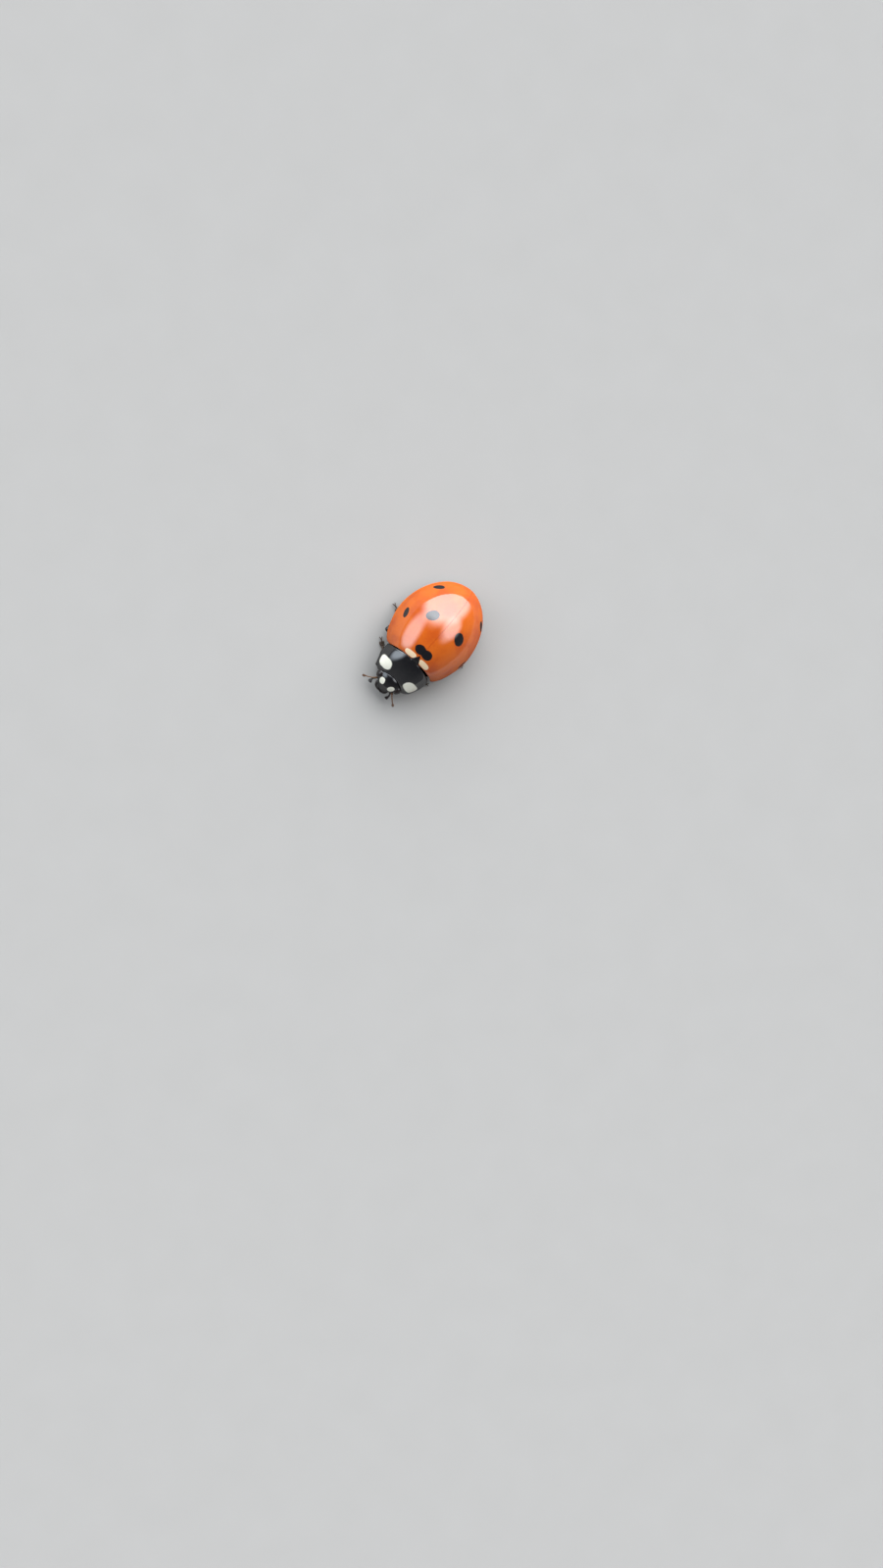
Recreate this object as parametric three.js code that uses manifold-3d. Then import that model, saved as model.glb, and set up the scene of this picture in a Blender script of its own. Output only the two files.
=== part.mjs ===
// A seven-spot ladybird, life size, as a still model. Millimetres, +Z up. The head points to -Y,
// +X is the beetle's left, and six soles stand on the plane z = 0.
// Each plate, eye, feeler and length of leg is one named closed mesh.

import * as THREE from 'three';
import { mergeVertices } from 'three/addons/utils/BufferGeometryUtils.js';
import Module from 'manifold-3d';

const wasm = await Module();
wasm.setup();

// ---------------------------------------------------------------- driving dimensions

const PART_GAP = 0.03; // clearance between pieces that meet
const CUT_WELD = 0.004; // corners that a cut leaves closer than this become one

// wing cases: y = 0 at the middle of their front edge, y = CASE_LENGTH at the tip
const CASE_LENGTH = 5.3;
const CASE_HALF_WIDTH = 2.48;
const CASE_HEIGHT = 2.45; // of the dome above its rim
const CASE_WALL = 0.46;
const CASE_TIP_FLAT = 0.006; // how far short of the true tip the last row stops
const WIDEST_Y = 2.17;
const PLAN_FRONT_Y = -1.2; // where the front half of the plan outline would close
const PLAN_REAR_POWER = 1.87;
const PLAN_FRONT_POWER = 1.92;
const HIGHEST_Y = 1.98;
const CREST_FRONT_Y = -1.75; // where the front half of the crest line would come down
const CREST_REAR_POWER = 2.08;
const CREST_FRONT_POWER = 2.14;
const SECTION_POWER = 2.14;
const RIM_Z = 0.85;
const RIM_SHOULDER_RISE = 0.2;
const RIM_TIP_DROP = 0.06;
const FRONT_EDGE_BOW = 0.15; // how far the shoulders reach ahead of the middle
const SHOULDER_ROUND = 0.55;
const SHOULDER_ROUND_FROM = 0.55;
const ROW_CROWDING = 1.8; // rows crowd towards the tip, where the dome turns down
const FRONT_CROWDING = 1.4; // and towards the front edge, where it rolls down
const ROLL_REACH = 0.065; // share of the length over which the front rolls down
const ROLL_MIDDLE = 0.05; // how much of its height it loses there
const ROLL_SHOULDER = 0.82;
const SUTURE_GAP = 0.04;

// scutellum, the small triangle between the wing cases
const SCUTELLUM_HALF_WIDTH = 0.27;
const SCUTELLUM_FRONT_Y = -0.08;
const SCUTELLUM_TIP_Y = 0.4;
const SCUTELLUM_SINK = 0.03;

// pronotum, the shield behind the head, and everything that turns with it
const FRONT_TURN = THREE.MathUtils.degToRad(-3.8); // the head looks slightly to the beetle's right
const SHIELD_FRONT_Y = -1.36;
const SHIELD_FRONT_BOW = 0.27; // how far its front corners reach ahead of the middle
const SHIELD_REAR_Y = -0.06;
const SHIELD_REAR_BOW = 0.2;
const SHIELD_FRONT_HALF_WIDTH = 1.17;
const SHIELD_HALF_WIDTH = 1.58;
const SHIELD_WIDEST = 0.82; // as a share of the way from front to rear
const SHIELD_REAR_TUCK = 0.1;
const SHIELD_FRONT_Z = 2.02;
const SHIELD_REAR_Z = 2.8;
const SHIELD_RIM_FRONT_Z = 1.22;
const SHIELD_RIM_REAR_Z = 1.36;
const SHIELD_SECTION_POWER = 2.3;
const SHIELD_WALL = 0.28;

// underside
const BREAST_Z = 0.82;
const BELLY_DIP = 0.16;
const BELLY_SIDE_RISE = 0.3;
const TRUNK_REACH = 0.96; // how far out to the rim the trunk fills the dome
const WAIST = 0.42; // share of the length where thorax and abdomen meet
const PROTHORAX_FRONT = 0.33;
const PROTHORAX_REAR = 0.95;

// head
const HEAD_CENTRE = new THREE.Vector3(0, -1.52, 1.34);
const HEAD_HALF = new THREE.Vector3(0.8, 0.8, 0.56);
const HEAD_NARROWING = 0.3;
const FACE_DROP = 0.28;
const HEAD_BACK_Y = -0.96;
const EYE_CENTRE = new THREE.Vector3(0.73, -1.66, 1.38);
const EYE_HALF = new THREE.Vector3(0.25, 0.31, 0.34);
const LABRUM_SIZE = new THREE.Vector3(0.62, 0.26, 0.2);
const LABRUM_CENTRE = new THREE.Vector3(0, -2.3, 0.93);

// legs: lengths in plan, heights of the joints' middles, and turns in degrees from straight
// outwards, positive towards the rear
const LEG_Z = { coxa: 0.53, knee: 0.47, ankle: 0.25, tip: 0.2 };
const FEMUR_RADIUS = { root: 0.25, belly: 0.27, knee: 0.23 };
const TIBIA_RADIUS = { top: 0.2, shin: 0.235, foot: 0.225 };
const TARSUS_RADIUS = { heel: 0.21, lobe: 0.28, tip: 0.24 };
const JOINT_INSET = 0.1;
const LEGS = {
  front: {
    coxa: [0.45, -0.72],
    length: { femur: 0.95, tibia: 0.87, tarsus: 0.6 },
    turn: { left: [-46, 82, 28], right: [-40, 76, 38] },
  },
  middle: {
    coxa: [0.78, 0.8],
    length: { femur: 1.35, tibia: 1.12, tarsus: 0.68 },
    turn: { left: [-10, 101, 16], right: [-13, 99.3, 19] },
  },
  hind: {
    coxa: [0.88, 2.05],
    length: { femur: 1.42, tibia: 1.25, tarsus: 0.7 },
    turn: { left: [25, 132, 62], right: [28, 137, 58] },
  },
};

// ---------------------------------------------------------------- finishes

function finish(color, roughness, metalness = 0) {
  return new THREE.MeshStandardMaterial({ color, roughness, metalness });
}

const FINISHES = {
  case: () => finish(0xe2480f, 0.22),
  black: () => finish(0x0c0b0c, 0.3),
  shield: () => finish(0x0a0a0b, 0.25),
  eye: () => finish(0x050507, 0.12),
  leg: () => finish(0x120e0c, 0.42),
  feeler: () => finish(0x5a3a20, 0.5),
  belly: () => finish(0x0f0d0d, 0.45),
};

// ---------------------------------------------------------------- mesh tools

// A closed geometry of positions only, with shared vertices and no collapsed triangles.
function closed(geometry, weld = 1e-4) {
  const bare = geometry.clone();
  bare.deleteAttribute('normal');
  bare.deleteAttribute('uv');
  const merged = mergeVertices(bare, weld);
  const kept = [];
  const index = merged.index.array;
  for (let i = 0; i < index.length; i += 3) {
    const [a, b, c] = [index[i], index[i + 1], index[i + 2]];
    if (a !== b && b !== c && c !== a) kept.push(a, b, c);
  }
  merged.setIndex(kept);
  return merged;
}

// Moves every vertex of a geometry: place(point) changes the point it is given.
function moulded(geometry, place) {
  const made = closed(geometry);
  const spots = made.getAttribute('position');
  const point = new THREE.Vector3();
  for (let i = 0; i < spots.count; i += 1) {
    point.fromBufferAttribute(spots, i);
    place(point);
    spots.setXYZ(i, point.x, point.y, point.z);
  }
  return closed(made);
}

// A slab moulded from a box. place(a, b, depth) gives the point at the shares a and b of its two
// ways, with depth 1 on its outer face and 0 on its inner one.
function slab(columns, rows, place) {
  return moulded(new THREE.BoxGeometry(1, 1, 1, columns, rows, 1), (point) => {
    point.copy(place(point.x + 0.5, point.y + 0.5, point.z + 0.5));
  });
}

// The same body on the other side of the beetle.
function mirrored(geometry) {
  const made = geometry.clone().scale(-1, 1, 1);
  const index = Array.from(made.index.array);
  for (let i = 0; i < index.length; i += 3) {
    [index[i + 1], index[i + 2]] = [index[i + 2], index[i + 1]];
  }
  made.setIndex(index);
  return made;
}

// The geometry grown outwards by a clearance.
function swollen(geometry, clearance = PART_GAP) {
  const made = geometry.clone();
  made.computeVertexNormals();
  const spots = made.getAttribute('position');
  const ways = made.getAttribute('normal');
  for (let i = 0; i < spots.count; i += 1) {
    spots.setXYZ(
      i,
      spots.getX(i) + ways.getX(i) * clearance,
      spots.getY(i) + ways.getY(i) * clearance,
      spots.getZ(i) + ways.getZ(i) * clearance,
    );
  }
  return made;
}

function solidOf(geometry) {
  const body = closed(geometry);
  const vertProperties = new Float32Array(body.getAttribute('position').array);
  const triVerts = new Uint32Array(body.index.array);
  return new wasm.Manifold(new wasm.Mesh({ numProp: 3, vertProperties, triVerts }));
}

function geometryOf(solid) {
  const mesh = solid.getMesh();
  const spots = new Float32Array(mesh.numVert * 3);
  for (let i = 0; i < mesh.numVert; i += 1) {
    spots.set(mesh.vertProperties.subarray(i * mesh.numProp, i * mesh.numProp + 3), i * 3);
  }
  const made = new THREE.BufferGeometry().setAttribute('position', new THREE.BufferAttribute(spots, 3));
  return closed(made.setIndex(Array.from(mesh.triVerts)), CUT_WELD);
}

function joined(...geometries) {
  return geometryOf(geometries.map(solidOf).reduce((whole, next) => whole.add(next)));
}

// The geometry with a clearance cut around each of its neighbours.
function carved(geometry, ...neighbours) {
  const cut = (body, neighbour) => body.subtract(solidOf(swollen(neighbour)));
  return geometryOf(neighbours.reduce(cut, solidOf(geometry)));
}

function ellipsoid(centre, half, around = 14, down = 10) {
  const ball = new THREE.SphereGeometry(1, around, down);
  return moulded(ball, (point) => point.multiply(half).add(centre));
}

// A round limb from one point to another, with a rounded end at each: the radius runs smoothly
// from start through middle to end.
function limb(from, to, start, middle, end, sides = 9) {
  const length = from.distanceTo(to);
  const profile = [];
  for (const turn of [-Math.PI / 2, -Math.PI / 4, 0]) {
    profile.push(new THREE.Vector2(start * Math.cos(turn), start * Math.sin(turn)));
  }
  profile.push(new THREE.Vector2((start + 3 * middle) / 4, length * 0.3));
  profile.push(new THREE.Vector2((end + 3 * middle) / 4, length * 0.7));
  for (const turn of [0, Math.PI / 4, Math.PI / 2]) {
    profile.push(new THREE.Vector2(end * Math.cos(turn), length + end * Math.sin(turn)));
  }
  profile[0].x = 0;
  profile[profile.length - 1].x = 0;
  const lathe = new THREE.LatheGeometry(profile, sides);
  const way = to.clone().sub(from).normalize();
  lathe.applyQuaternion(new THREE.Quaternion().setFromUnitVectors(new THREE.Vector3(0, 1, 0), way));
  lathe.translate(from.x, from.y, from.z);
  return closed(lathe);
}

// ---------------------------------------------------------------- the dome of the wing cases

// A quarter arc: 1 at share 0 and 0 at share 1.
function arc(share, power) {
  return Math.sqrt(Math.max(0, 1 - Math.min(1, Math.abs(share)) ** power));
}

function halfWidthAt(y) {
  if (y > WIDEST_Y) {
    return CASE_HALF_WIDTH * arc((y - WIDEST_Y) / (CASE_LENGTH - WIDEST_Y), PLAN_REAR_POWER);
  }
  return CASE_HALF_WIDTH * arc((WIDEST_Y - y) / (WIDEST_Y - PLAN_FRONT_Y), PLAN_FRONT_POWER);
}

function crestAt(y) {
  if (y > HIGHEST_Y) {
    return CASE_HEIGHT * arc((y - HIGHEST_Y) / (CASE_LENGTH - HIGHEST_Y), CREST_REAR_POWER);
  }
  return CASE_HEIGHT * arc((HIGHEST_Y - y) / (HIGHEST_Y - CREST_FRONT_Y), CREST_FRONT_POWER);
}

function rimAt(y) {
  if (y > WIDEST_Y) {
    return RIM_Z - RIM_TIP_DROP * ((y - WIDEST_Y) / (CASE_LENGTH - WIDEST_Y)) ** 2;
  }
  return RIM_Z + RIM_SHOULDER_RISE * ((WIDEST_Y - y) / WIDEST_Y) ** 2;
}

// The front edge of the wing cases: bowed, then swept back round the shoulder.
function frontEdgeAt(across) {
  const shoulder = Math.max(0, (Math.abs(across) - SHOULDER_ROUND_FROM) / (1 - SHOULDER_ROUND_FROM));
  return -FRONT_EDGE_BOW * Math.sin((across * Math.PI) / 2) ** 2 + SHOULDER_ROUND * shoulder ** 3;
}

// A point of the dome: across runs from 0 on the crest to 1 at the rim, along from 0 at the front
// edge to 1 at the tip.
function domePoint(across, along) {
  const front = frontEdgeAt(across);
  const reach = 1 - (1 - along) ** ROW_CROWDING;
  const y = front + (CASE_LENGTH - CASE_TIP_FLAT - front) * reach;
  const share = Math.sin((across * Math.PI) / 2);
  const x = share * halfWidthAt(y);
  const rise = RIM_Z + crestAt(y) - rimAt(y);
  return new THREE.Vector3(x, y, rimAt(y) + rise * arc(share, SECTION_POWER));
}

// The way out of a surface, from two small steps that stay within it.
function outwards(surface, a, b) {
  const step = 1e-3;
  const stepA = a > 0 ? -step : step;
  const stepB = b > 0.5 ? -step : step;
  const here = surface(a, b);
  const wayA = surface(a + stepA, b).sub(here).multiplyScalar(Math.sign(stepA));
  const wayB = surface(a, b + stepB).sub(here).multiplyScalar(Math.sign(stepB));
  return wayA.cross(wayB).normalize();
}

function under(surface, a, b, depth) {
  return surface(a, b).addScaledVector(outwards(surface, a, b), -depth);
}

// A point at a depth under the dome, once its front has rolled down: a little behind the pronotum,
// and nearly to the rim at the shoulders.
function casePoint(across, along, depth) {
  const point = under(domePoint, across, along, depth);
  const short = 1 - Math.min(1, along / ROLL_REACH);
  const shoulder = THREE.MathUtils.smoothstep(Math.abs(across), 0.4, 0.95);
  const strength = ROLL_MIDDLE + (ROLL_SHOULDER - ROLL_MIDDLE) * shoulder;
  const kept = 1 - strength * (1 - Math.sqrt(1 - short ** 2));
  point.z = rimAt(point.y) + (point.z - rimAt(point.y)) * kept;
  return point;
}

function wingCase() {
  const shell = slab(11, 18, (across, b, depth) => {
    const point = casePoint(across, b ** FRONT_CROWDING, (1 - depth) * CASE_WALL);
    point.x = SUTURE_GAP / 2 + Math.max(0, point.x);
    return point;
  });
  return geometryOf(solidOf(shell).subtract(solidOf(scutellumBlock(PART_GAP))));
}

// An upright three-sided block through the dome, larger all round by the clearance.
function scutellumBlock(clearance) {
  const outline = new THREE.Shape();
  outline.moveTo(-SCUTELLUM_HALF_WIDTH - clearance, SCUTELLUM_FRONT_Y - clearance);
  outline.lineTo(SCUTELLUM_HALF_WIDTH + clearance, SCUTELLUM_FRONT_Y - clearance);
  outline.lineTo(SCUTELLUM_HALF_WIDTH + clearance, 0);
  outline.lineTo(0, SCUTELLUM_TIP_Y + 2 * clearance);
  outline.lineTo(-SCUTELLUM_HALF_WIDTH - clearance, 0);
  return new THREE.ExtrudeGeometry(outline, { depth: 4, bevelEnabled: false, steps: 1 });
}

function scutellum() {
  const plate = slab(8, 12, (a, b, depth) => {
    return casePoint((a - 0.5) * 0.6, b * 0.3, SCUTELLUM_SINK + (1 - depth) * CASE_WALL);
  });
  return geometryOf(solidOf(plate).intersect(solidOf(scutellumBlock(0))));
}

// ---------------------------------------------------------------- pronotum

function shieldHalfWidthAt(share) {
  const spread = SHIELD_HALF_WIDTH - SHIELD_FRONT_HALF_WIDTH;
  const opening = Math.sin((Math.PI / 2) * Math.min(1, share / SHIELD_WIDEST));
  const tuck = Math.max(0, (share - SHIELD_WIDEST) / (1 - SHIELD_WIDEST)) ** 2;
  return SHIELD_FRONT_HALF_WIDTH + spread * opening - SHIELD_REAR_TUCK * tuck;
}

// A point of the shield: across runs from -1 to 1 between its side rims, back from 0 at its front
// edge to 1 at its rear edge.
function shieldPoint(across, back) {
  const share = Math.sin((across * Math.PI) / 2);
  const front = SHIELD_FRONT_Y - SHIELD_FRONT_BOW * share ** 2;
  const rear = SHIELD_REAR_Y - SHIELD_REAR_BOW * Math.abs(share) ** 2.2;
  const climb = 0.35 * back + 0.65 * (1 - (1 - back) ** 2);
  const crest = SHIELD_FRONT_Z + (SHIELD_REAR_Z - SHIELD_FRONT_Z) * climb;
  const rim = SHIELD_RIM_FRONT_Z + (SHIELD_RIM_REAR_Z - SHIELD_RIM_FRONT_Z) * back;
  return new THREE.Vector3(
    share * shieldHalfWidthAt(back),
    front + (rear - front) * back,
    rim + (crest - rim) * arc(share, SHIELD_SECTION_POWER),
  );
}

function pronotum() {
  return slab(18, 8, (a, b, depth) => {
    return under(shieldPoint, 2 * a - 1, b, (1 - depth) * SHIELD_WALL);
  });
}

// ---------------------------------------------------------------- trunk

function bellyAt(x, y) {
  const tail = (y - domePoint(0, WAIST).y) / (CASE_LENGTH - domePoint(0, WAIST).y);
  const dip = BELLY_DIP * Math.sin(Math.PI * THREE.MathUtils.clamp(tail, 0, 1));
  return BREAST_Z - dip + BELLY_SIDE_RISE * (x / CASE_HALF_WIDTH) ** 4;
}

// A block that fills a roof from below, between two shares of its length, down to the belly.
function filling(roof, reach, from, to, columns, rows) {
  return slab(columns, rows, (a, b, depth) => {
    const top = roof(reach * (2 * a - 1), from + (to - from) * b);
    return new THREE.Vector3(top.x, top.y, depth * top.z + (1 - depth) * bellyAt(top.x, top.y));
  });
}

function caseLining(across, along) {
  return casePoint(across, along, CASE_WALL + 2 * PART_GAP);
}

function shieldLining(across, back) {
  return under(shieldPoint, across, back, SHIELD_WALL + PART_GAP);
}

function thorax() {
  const waist = domePoint(0, WAIST).y - PART_GAP / 2;
  const whole = filling(caseLining, TRUNK_REACH, 0.004, WAIST, 12, 7);
  return moulded(whole, (point) => {
    point.y = Math.min(point.y, waist);
  });
}

function abdomen() {
  const waist = domePoint(0, WAIST).y + PART_GAP / 2;
  const whole = filling(caseLining, TRUNK_REACH, WAIST, 1, 12, 9);
  return moulded(whole, (point) => {
    point.y = Math.max(point.y, waist);
  });
}

function prothorax() {
  return filling(shieldLining, 0.62, PROTHORAX_FRONT, PROTHORAX_REAR, 10, 4);
}

// ---------------------------------------------------------------- head

function headCapsule() {
  return moulded(new THREE.SphereGeometry(1, 20, 14), (point) => {
    const forward = Math.max(0, -point.y);
    point.x *= HEAD_HALF.x * (1 - HEAD_NARROWING * forward ** 2);
    point.z = HEAD_HALF.z * point.z - FACE_DROP * forward ** 1.5;
    point.y *= HEAD_HALF.y;
    point.add(HEAD_CENTRE);
    point.y = Math.min(point.y, HEAD_BACK_Y);
  });
}

function eyeball() {
  return ellipsoid(EYE_CENTRE, EYE_HALF, 14, 10);
}

function labrum() {
  const block = new THREE.BoxGeometry(1, 1, 1, 6, 2, 2);
  return moulded(block, (point) => {
    const bow = 1 - 0.5 * (2 * point.x) ** 2;
    point.y = point.y > 0 ? point.y : point.y * bow;
    point.multiply(LABRUM_SIZE).add(LABRUM_CENTRE);
  });
}

function mandible() {
  const root = new THREE.Vector3(0.34, -2.02, 0.82);
  const tip = new THREE.Vector3(0.16, -2.36, 0.72);
  return limb(root, tip, 0.15, 0.13, 0.09, 8);
}

function palp() {
  const root = new THREE.Vector3(0.46, -1.86, 0.72);
  const bend = new THREE.Vector3(0.66, -2.12, 0.62);
  const tip = new THREE.Vector3(0.66, -2.36, 0.52);
  return joined(limb(root, bend, 0.13, 0.12, 0.12, 8), limb(bend, tip, 0.12, 0.17, 0.19, 8));
}

function antenna() {
  const root = new THREE.Vector3(0.66, -2.02, 1.1);
  const bend = new THREE.Vector3(0.93, -2.24, 1.02);
  const tip = new THREE.Vector3(1.16, -2.38, 0.86);
  return joined(limb(root, bend, 0.2, 0.2, 0.2, 8), limb(bend, tip, 0.2, 0.22, 0.24, 8));
}

// ---------------------------------------------------------------- legs

// The middles of a leg's joints, on the beetle's left or right.
function legJoints(pair, side) {
  const { coxa, length, turn } = LEGS[pair];
  const sign = side === 'left' ? 1 : -1;
  const step = (from, reach, degrees, z) => {
    const angle = THREE.MathUtils.degToRad(degrees);
    const x = from.x + sign * reach * Math.cos(angle);
    return new THREE.Vector3(x, from.y + reach * Math.sin(angle), z);
  };
  const hip = new THREE.Vector3(sign * coxa[0], coxa[1], LEG_Z.coxa);
  const [femurTurn, tibiaTurn, tarsusTurn] = turn[side];
  const knee = step(hip, length.femur, femurTurn, LEG_Z.knee);
  const ankle = step(knee, length.tibia, tibiaTurn, LEG_Z.ankle);
  const toe = step(ankle, length.tarsus, tarsusTurn, LEG_Z.tip);
  return { hip, knee, ankle, toe };
}

// The point a little way from one joint towards the next.
function inset(from, to) {
  return to.clone().sub(from).normalize().multiplyScalar(JOINT_INSET).add(from);
}

function legPieces(pair, side) {
  const { hip, knee, ankle, toe } = legJoints(pair, side);
  const femur = limb(hip, knee, FEMUR_RADIUS.root, FEMUR_RADIUS.belly, FEMUR_RADIUS.knee, 10);
  const shin = limb(
    inset(knee, ankle), ankle, TIBIA_RADIUS.top, TIBIA_RADIUS.shin, TIBIA_RADIUS.foot,
  );
  const foot = limb(
    inset(ankle, toe), toe, TARSUS_RADIUS.heel, TARSUS_RADIUS.lobe, TARSUS_RADIUS.tip, 10,
  );
  const standing = geometryOf(solidOf(foot).subtract(solidOf(ground())));
  return { femur, tibia: carved(shin, femur), tarsus: carved(standing, shin) };
}

// A block whose top is the plane that the soles are cut flat to.
function ground() {
  return new THREE.BoxGeometry(4 * CASE_LENGTH, 4 * CASE_LENGTH, 1).translate(0, 0, -0.5);
}

// ---------------------------------------------------------------- assembly

function named(name, geometry, material) {
  const mesh = new THREE.Mesh(geometry, material);
  mesh.name = name;
  return mesh;
}

function pairOf(name, geometry, makeFinish) {
  return [
    named(name + '_left', geometry, makeFinish()),
    named(name + '_right', mirrored(geometry), makeFinish()),
  ];
}

function frontBody() {
  const group = new THREE.Group();
  const shield = pronotum();
  const eye = eyeball();
  const otherEye = mirrored(eye);
  const capsule = headCapsule();
  const mouthPlate = labrum();
  const jaw = mandible();
  group.add(named('pronotum', shield, FINISHES.shield()));
  group.add(named('prothorax', prothorax(), FINISHES.belly()));
  group.add(named('head', carved(capsule, shield, eye, otherEye), FINISHES.black()));
  group.add(named('labrum', carved(mouthPlate, capsule), FINISHES.black()));
  group.add(...pairOf('eye', carved(eye, shield), FINISHES.eye));
  group.add(...pairOf('mandible', carved(jaw, capsule, mouthPlate), FINISHES.black));
  group.add(...pairOf('palp', carved(palp(), capsule, jaw), FINISHES.feeler));
  group.add(...pairOf('antenna', carved(antenna(), capsule, eye), FINISHES.feeler));
  group.rotation.z = FRONT_TURN;
  return group;
}

function legs() {
  const group = new THREE.Group();
  for (const pair of Object.keys(LEGS)) {
    for (const side of ['left', 'right']) {
      for (const [segment, geometry] of Object.entries(legPieces(pair, side))) {
        group.add(named(`leg_${pair}_${side}_${segment}`, geometry, FINISHES.leg()));
      }
    }
  }
  return group;
}

function ladybird() {
  const beetle = new THREE.Group();
  beetle.add(...pairOf('elytron', wingCase(), FINISHES.case));
  beetle.add(named('scutellum', scutellum(), FINISHES.black()));
  beetle.add(named('thorax', thorax(), FINISHES.belly()));
  beetle.add(named('abdomen', abdomen(), FINISHES.belly()));
  beetle.add(frontBody());
  beetle.add(legs());
  const middle = new THREE.Box3().setFromObject(beetle).getCenter(new THREE.Vector3());
  beetle.position.set(-middle.x, -middle.y, 0);
  const part = new THREE.Group();
  part.add(beetle);
  return part;
}

export default ladybird();
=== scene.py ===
"""A seven-spot ladybird, life size: wing cases, shield, head, feelers, trunk and six folded legs.

Shapes are worked out in millimetres in the beetle's own frame: y = 0 at the middle of the wing cases'
front edge, y grows towards their tip, x grows to the beetle's left and z is the height above the floor.
Bearings.place turns them into the row frame, in metres.
"""

from __future__ import annotations

import logging
import math
from dataclasses import dataclass, field
from enum import Enum
from typing import ClassVar, Mapping, Optional, Sequence, Union

import bmesh
import bpy
import numpy as np
from mathutils import Matrix, Vector


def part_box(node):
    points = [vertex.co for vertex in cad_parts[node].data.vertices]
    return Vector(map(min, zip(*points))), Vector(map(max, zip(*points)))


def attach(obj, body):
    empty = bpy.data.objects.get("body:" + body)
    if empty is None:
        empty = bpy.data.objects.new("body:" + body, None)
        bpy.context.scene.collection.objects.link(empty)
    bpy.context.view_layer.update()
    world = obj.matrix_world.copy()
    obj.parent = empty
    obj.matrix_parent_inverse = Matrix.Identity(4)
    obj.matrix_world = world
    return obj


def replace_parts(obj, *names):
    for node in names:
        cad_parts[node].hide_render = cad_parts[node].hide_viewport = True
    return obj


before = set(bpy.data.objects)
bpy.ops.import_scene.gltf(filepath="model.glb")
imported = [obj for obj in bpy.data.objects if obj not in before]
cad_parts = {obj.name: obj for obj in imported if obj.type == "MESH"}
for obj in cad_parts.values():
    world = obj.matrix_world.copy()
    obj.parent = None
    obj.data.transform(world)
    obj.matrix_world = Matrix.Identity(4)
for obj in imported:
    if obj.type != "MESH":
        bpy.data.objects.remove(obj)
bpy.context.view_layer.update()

log = logging.getLogger("ladybird")
Array = np.ndarray
Point = tuple[float, float, float]
Colour = tuple[float, float, float]
MM = 0.001
BODY = "root"
WELD = 2e-7
SHARP = math.radians(50)
UP = (0.0, 0.0, 1.0)
CUTICLE_IOR = 1.5
VARNISH_IOR = 2.1


# ---- choices


class Side(Enum):
    """The two sides of the beetle, with the sign of x on each."""

    LEFT = 1
    RIGHT = -1

    @property
    def word(self) -> str:
        """The side's name in lower case."""
        return self.name.lower()

    @property
    def mirror(self) -> Array:
        """What a point on the left is multiplied by to lie on this side."""
        return np.array([self.value, 1, 1])


class Pair(Enum):
    """The three pairs of legs."""

    FRONT = "front"
    MIDDLE = "middle"
    HIND = "hind"


class Edge(Enum):
    """An edge of a slab: the axis of its grid that ends there, and which end."""

    FIRST_ROW = (0, 0)
    LAST_ROW = (0, -1)
    FIRST_COLUMN = (1, 0)
    LAST_COLUMN = (1, -1)


class Slot(Enum):
    """The record's material slots."""

    WING_CASE = "wing_case"
    BLACK_PLATE = "black_plate"
    SHIELD = "shield"
    EYE = "eye"
    MOUTHPART = "mouthpart"
    FEELER = "feeler"
    LEG = "leg"
    FOOT = "foot"
    BELLY = "belly"


# ---- curves


def smooth(value: Array, low: float, high: float) -> Array:
    """A smooth step.

    Args:
        value: what is stepped.
        low: where the step is 0.
        high: where the step is 1; it may be below low.

    Returns:
        The step, from 0 to 1.
    """
    share = np.clip((np.asarray(value, float) - low) / (high - low), 0, 1)
    return share * share * (3 - 2 * share)


def arc(share: Array, power: float) -> Array:
    """A quarter arc.

    Args:
        share: how far along it, from 0 to 1 either way.
        power: 2 for a circle, more for a squarer one.

    Returns:
        Its height: 1 at share 0 and 0 at share 1.
    """
    return np.sqrt(np.clip(1 - np.minimum(1, np.abs(share)) ** power, 0, 1))


def between(ends: tuple[float, float], share: Array) -> Array:
    """The value at a share of the way from the first end to the second."""
    return ends[0] + (ends[1] - ends[0]) * share


def unit(ways: Array) -> Array:
    """The directions with a length of 1."""
    return ways / np.maximum(np.linalg.norm(ways, axis=-1, keepdims=True), 1e-12)


def through(values: Sequence, shares: Array) -> Array:
    """A smooth curve through evenly spaced values.

    Args:
        values: numbers or points.
        shares: where it is read, from 0 at the first value to 1 at the last.

    Returns:
        The curve at those shares.
    """
    knots = np.asarray(values, float)
    ends = (2 * knots[:1] - knots[1:2], 2 * knots[-1:] - knots[-2:-1])
    knots = np.concatenate([ends[0], knots, ends[1]])
    place = np.clip(shares, 0, 1) * (len(knots) - 3)
    first = np.minimum(place.astype(int), len(knots) - 4)
    step = (place - first).reshape((-1,) + (1,) * (knots.ndim - 1))
    a, b, c, d = (knots[first + k] for k in range(4))
    return b + step * (c - a + step * (2 * a - 5 * b + 4 * c - d + step * (3 * b - a - 3 * c + d))) / 2


def outward(grid: Array) -> Array:
    """The normals of a grid of points, from the cross product of its two ways."""
    return unit(np.cross(np.gradient(grid, axis=1), np.gradient(grid, axis=0)))


# ---- the frame's bearings


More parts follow.
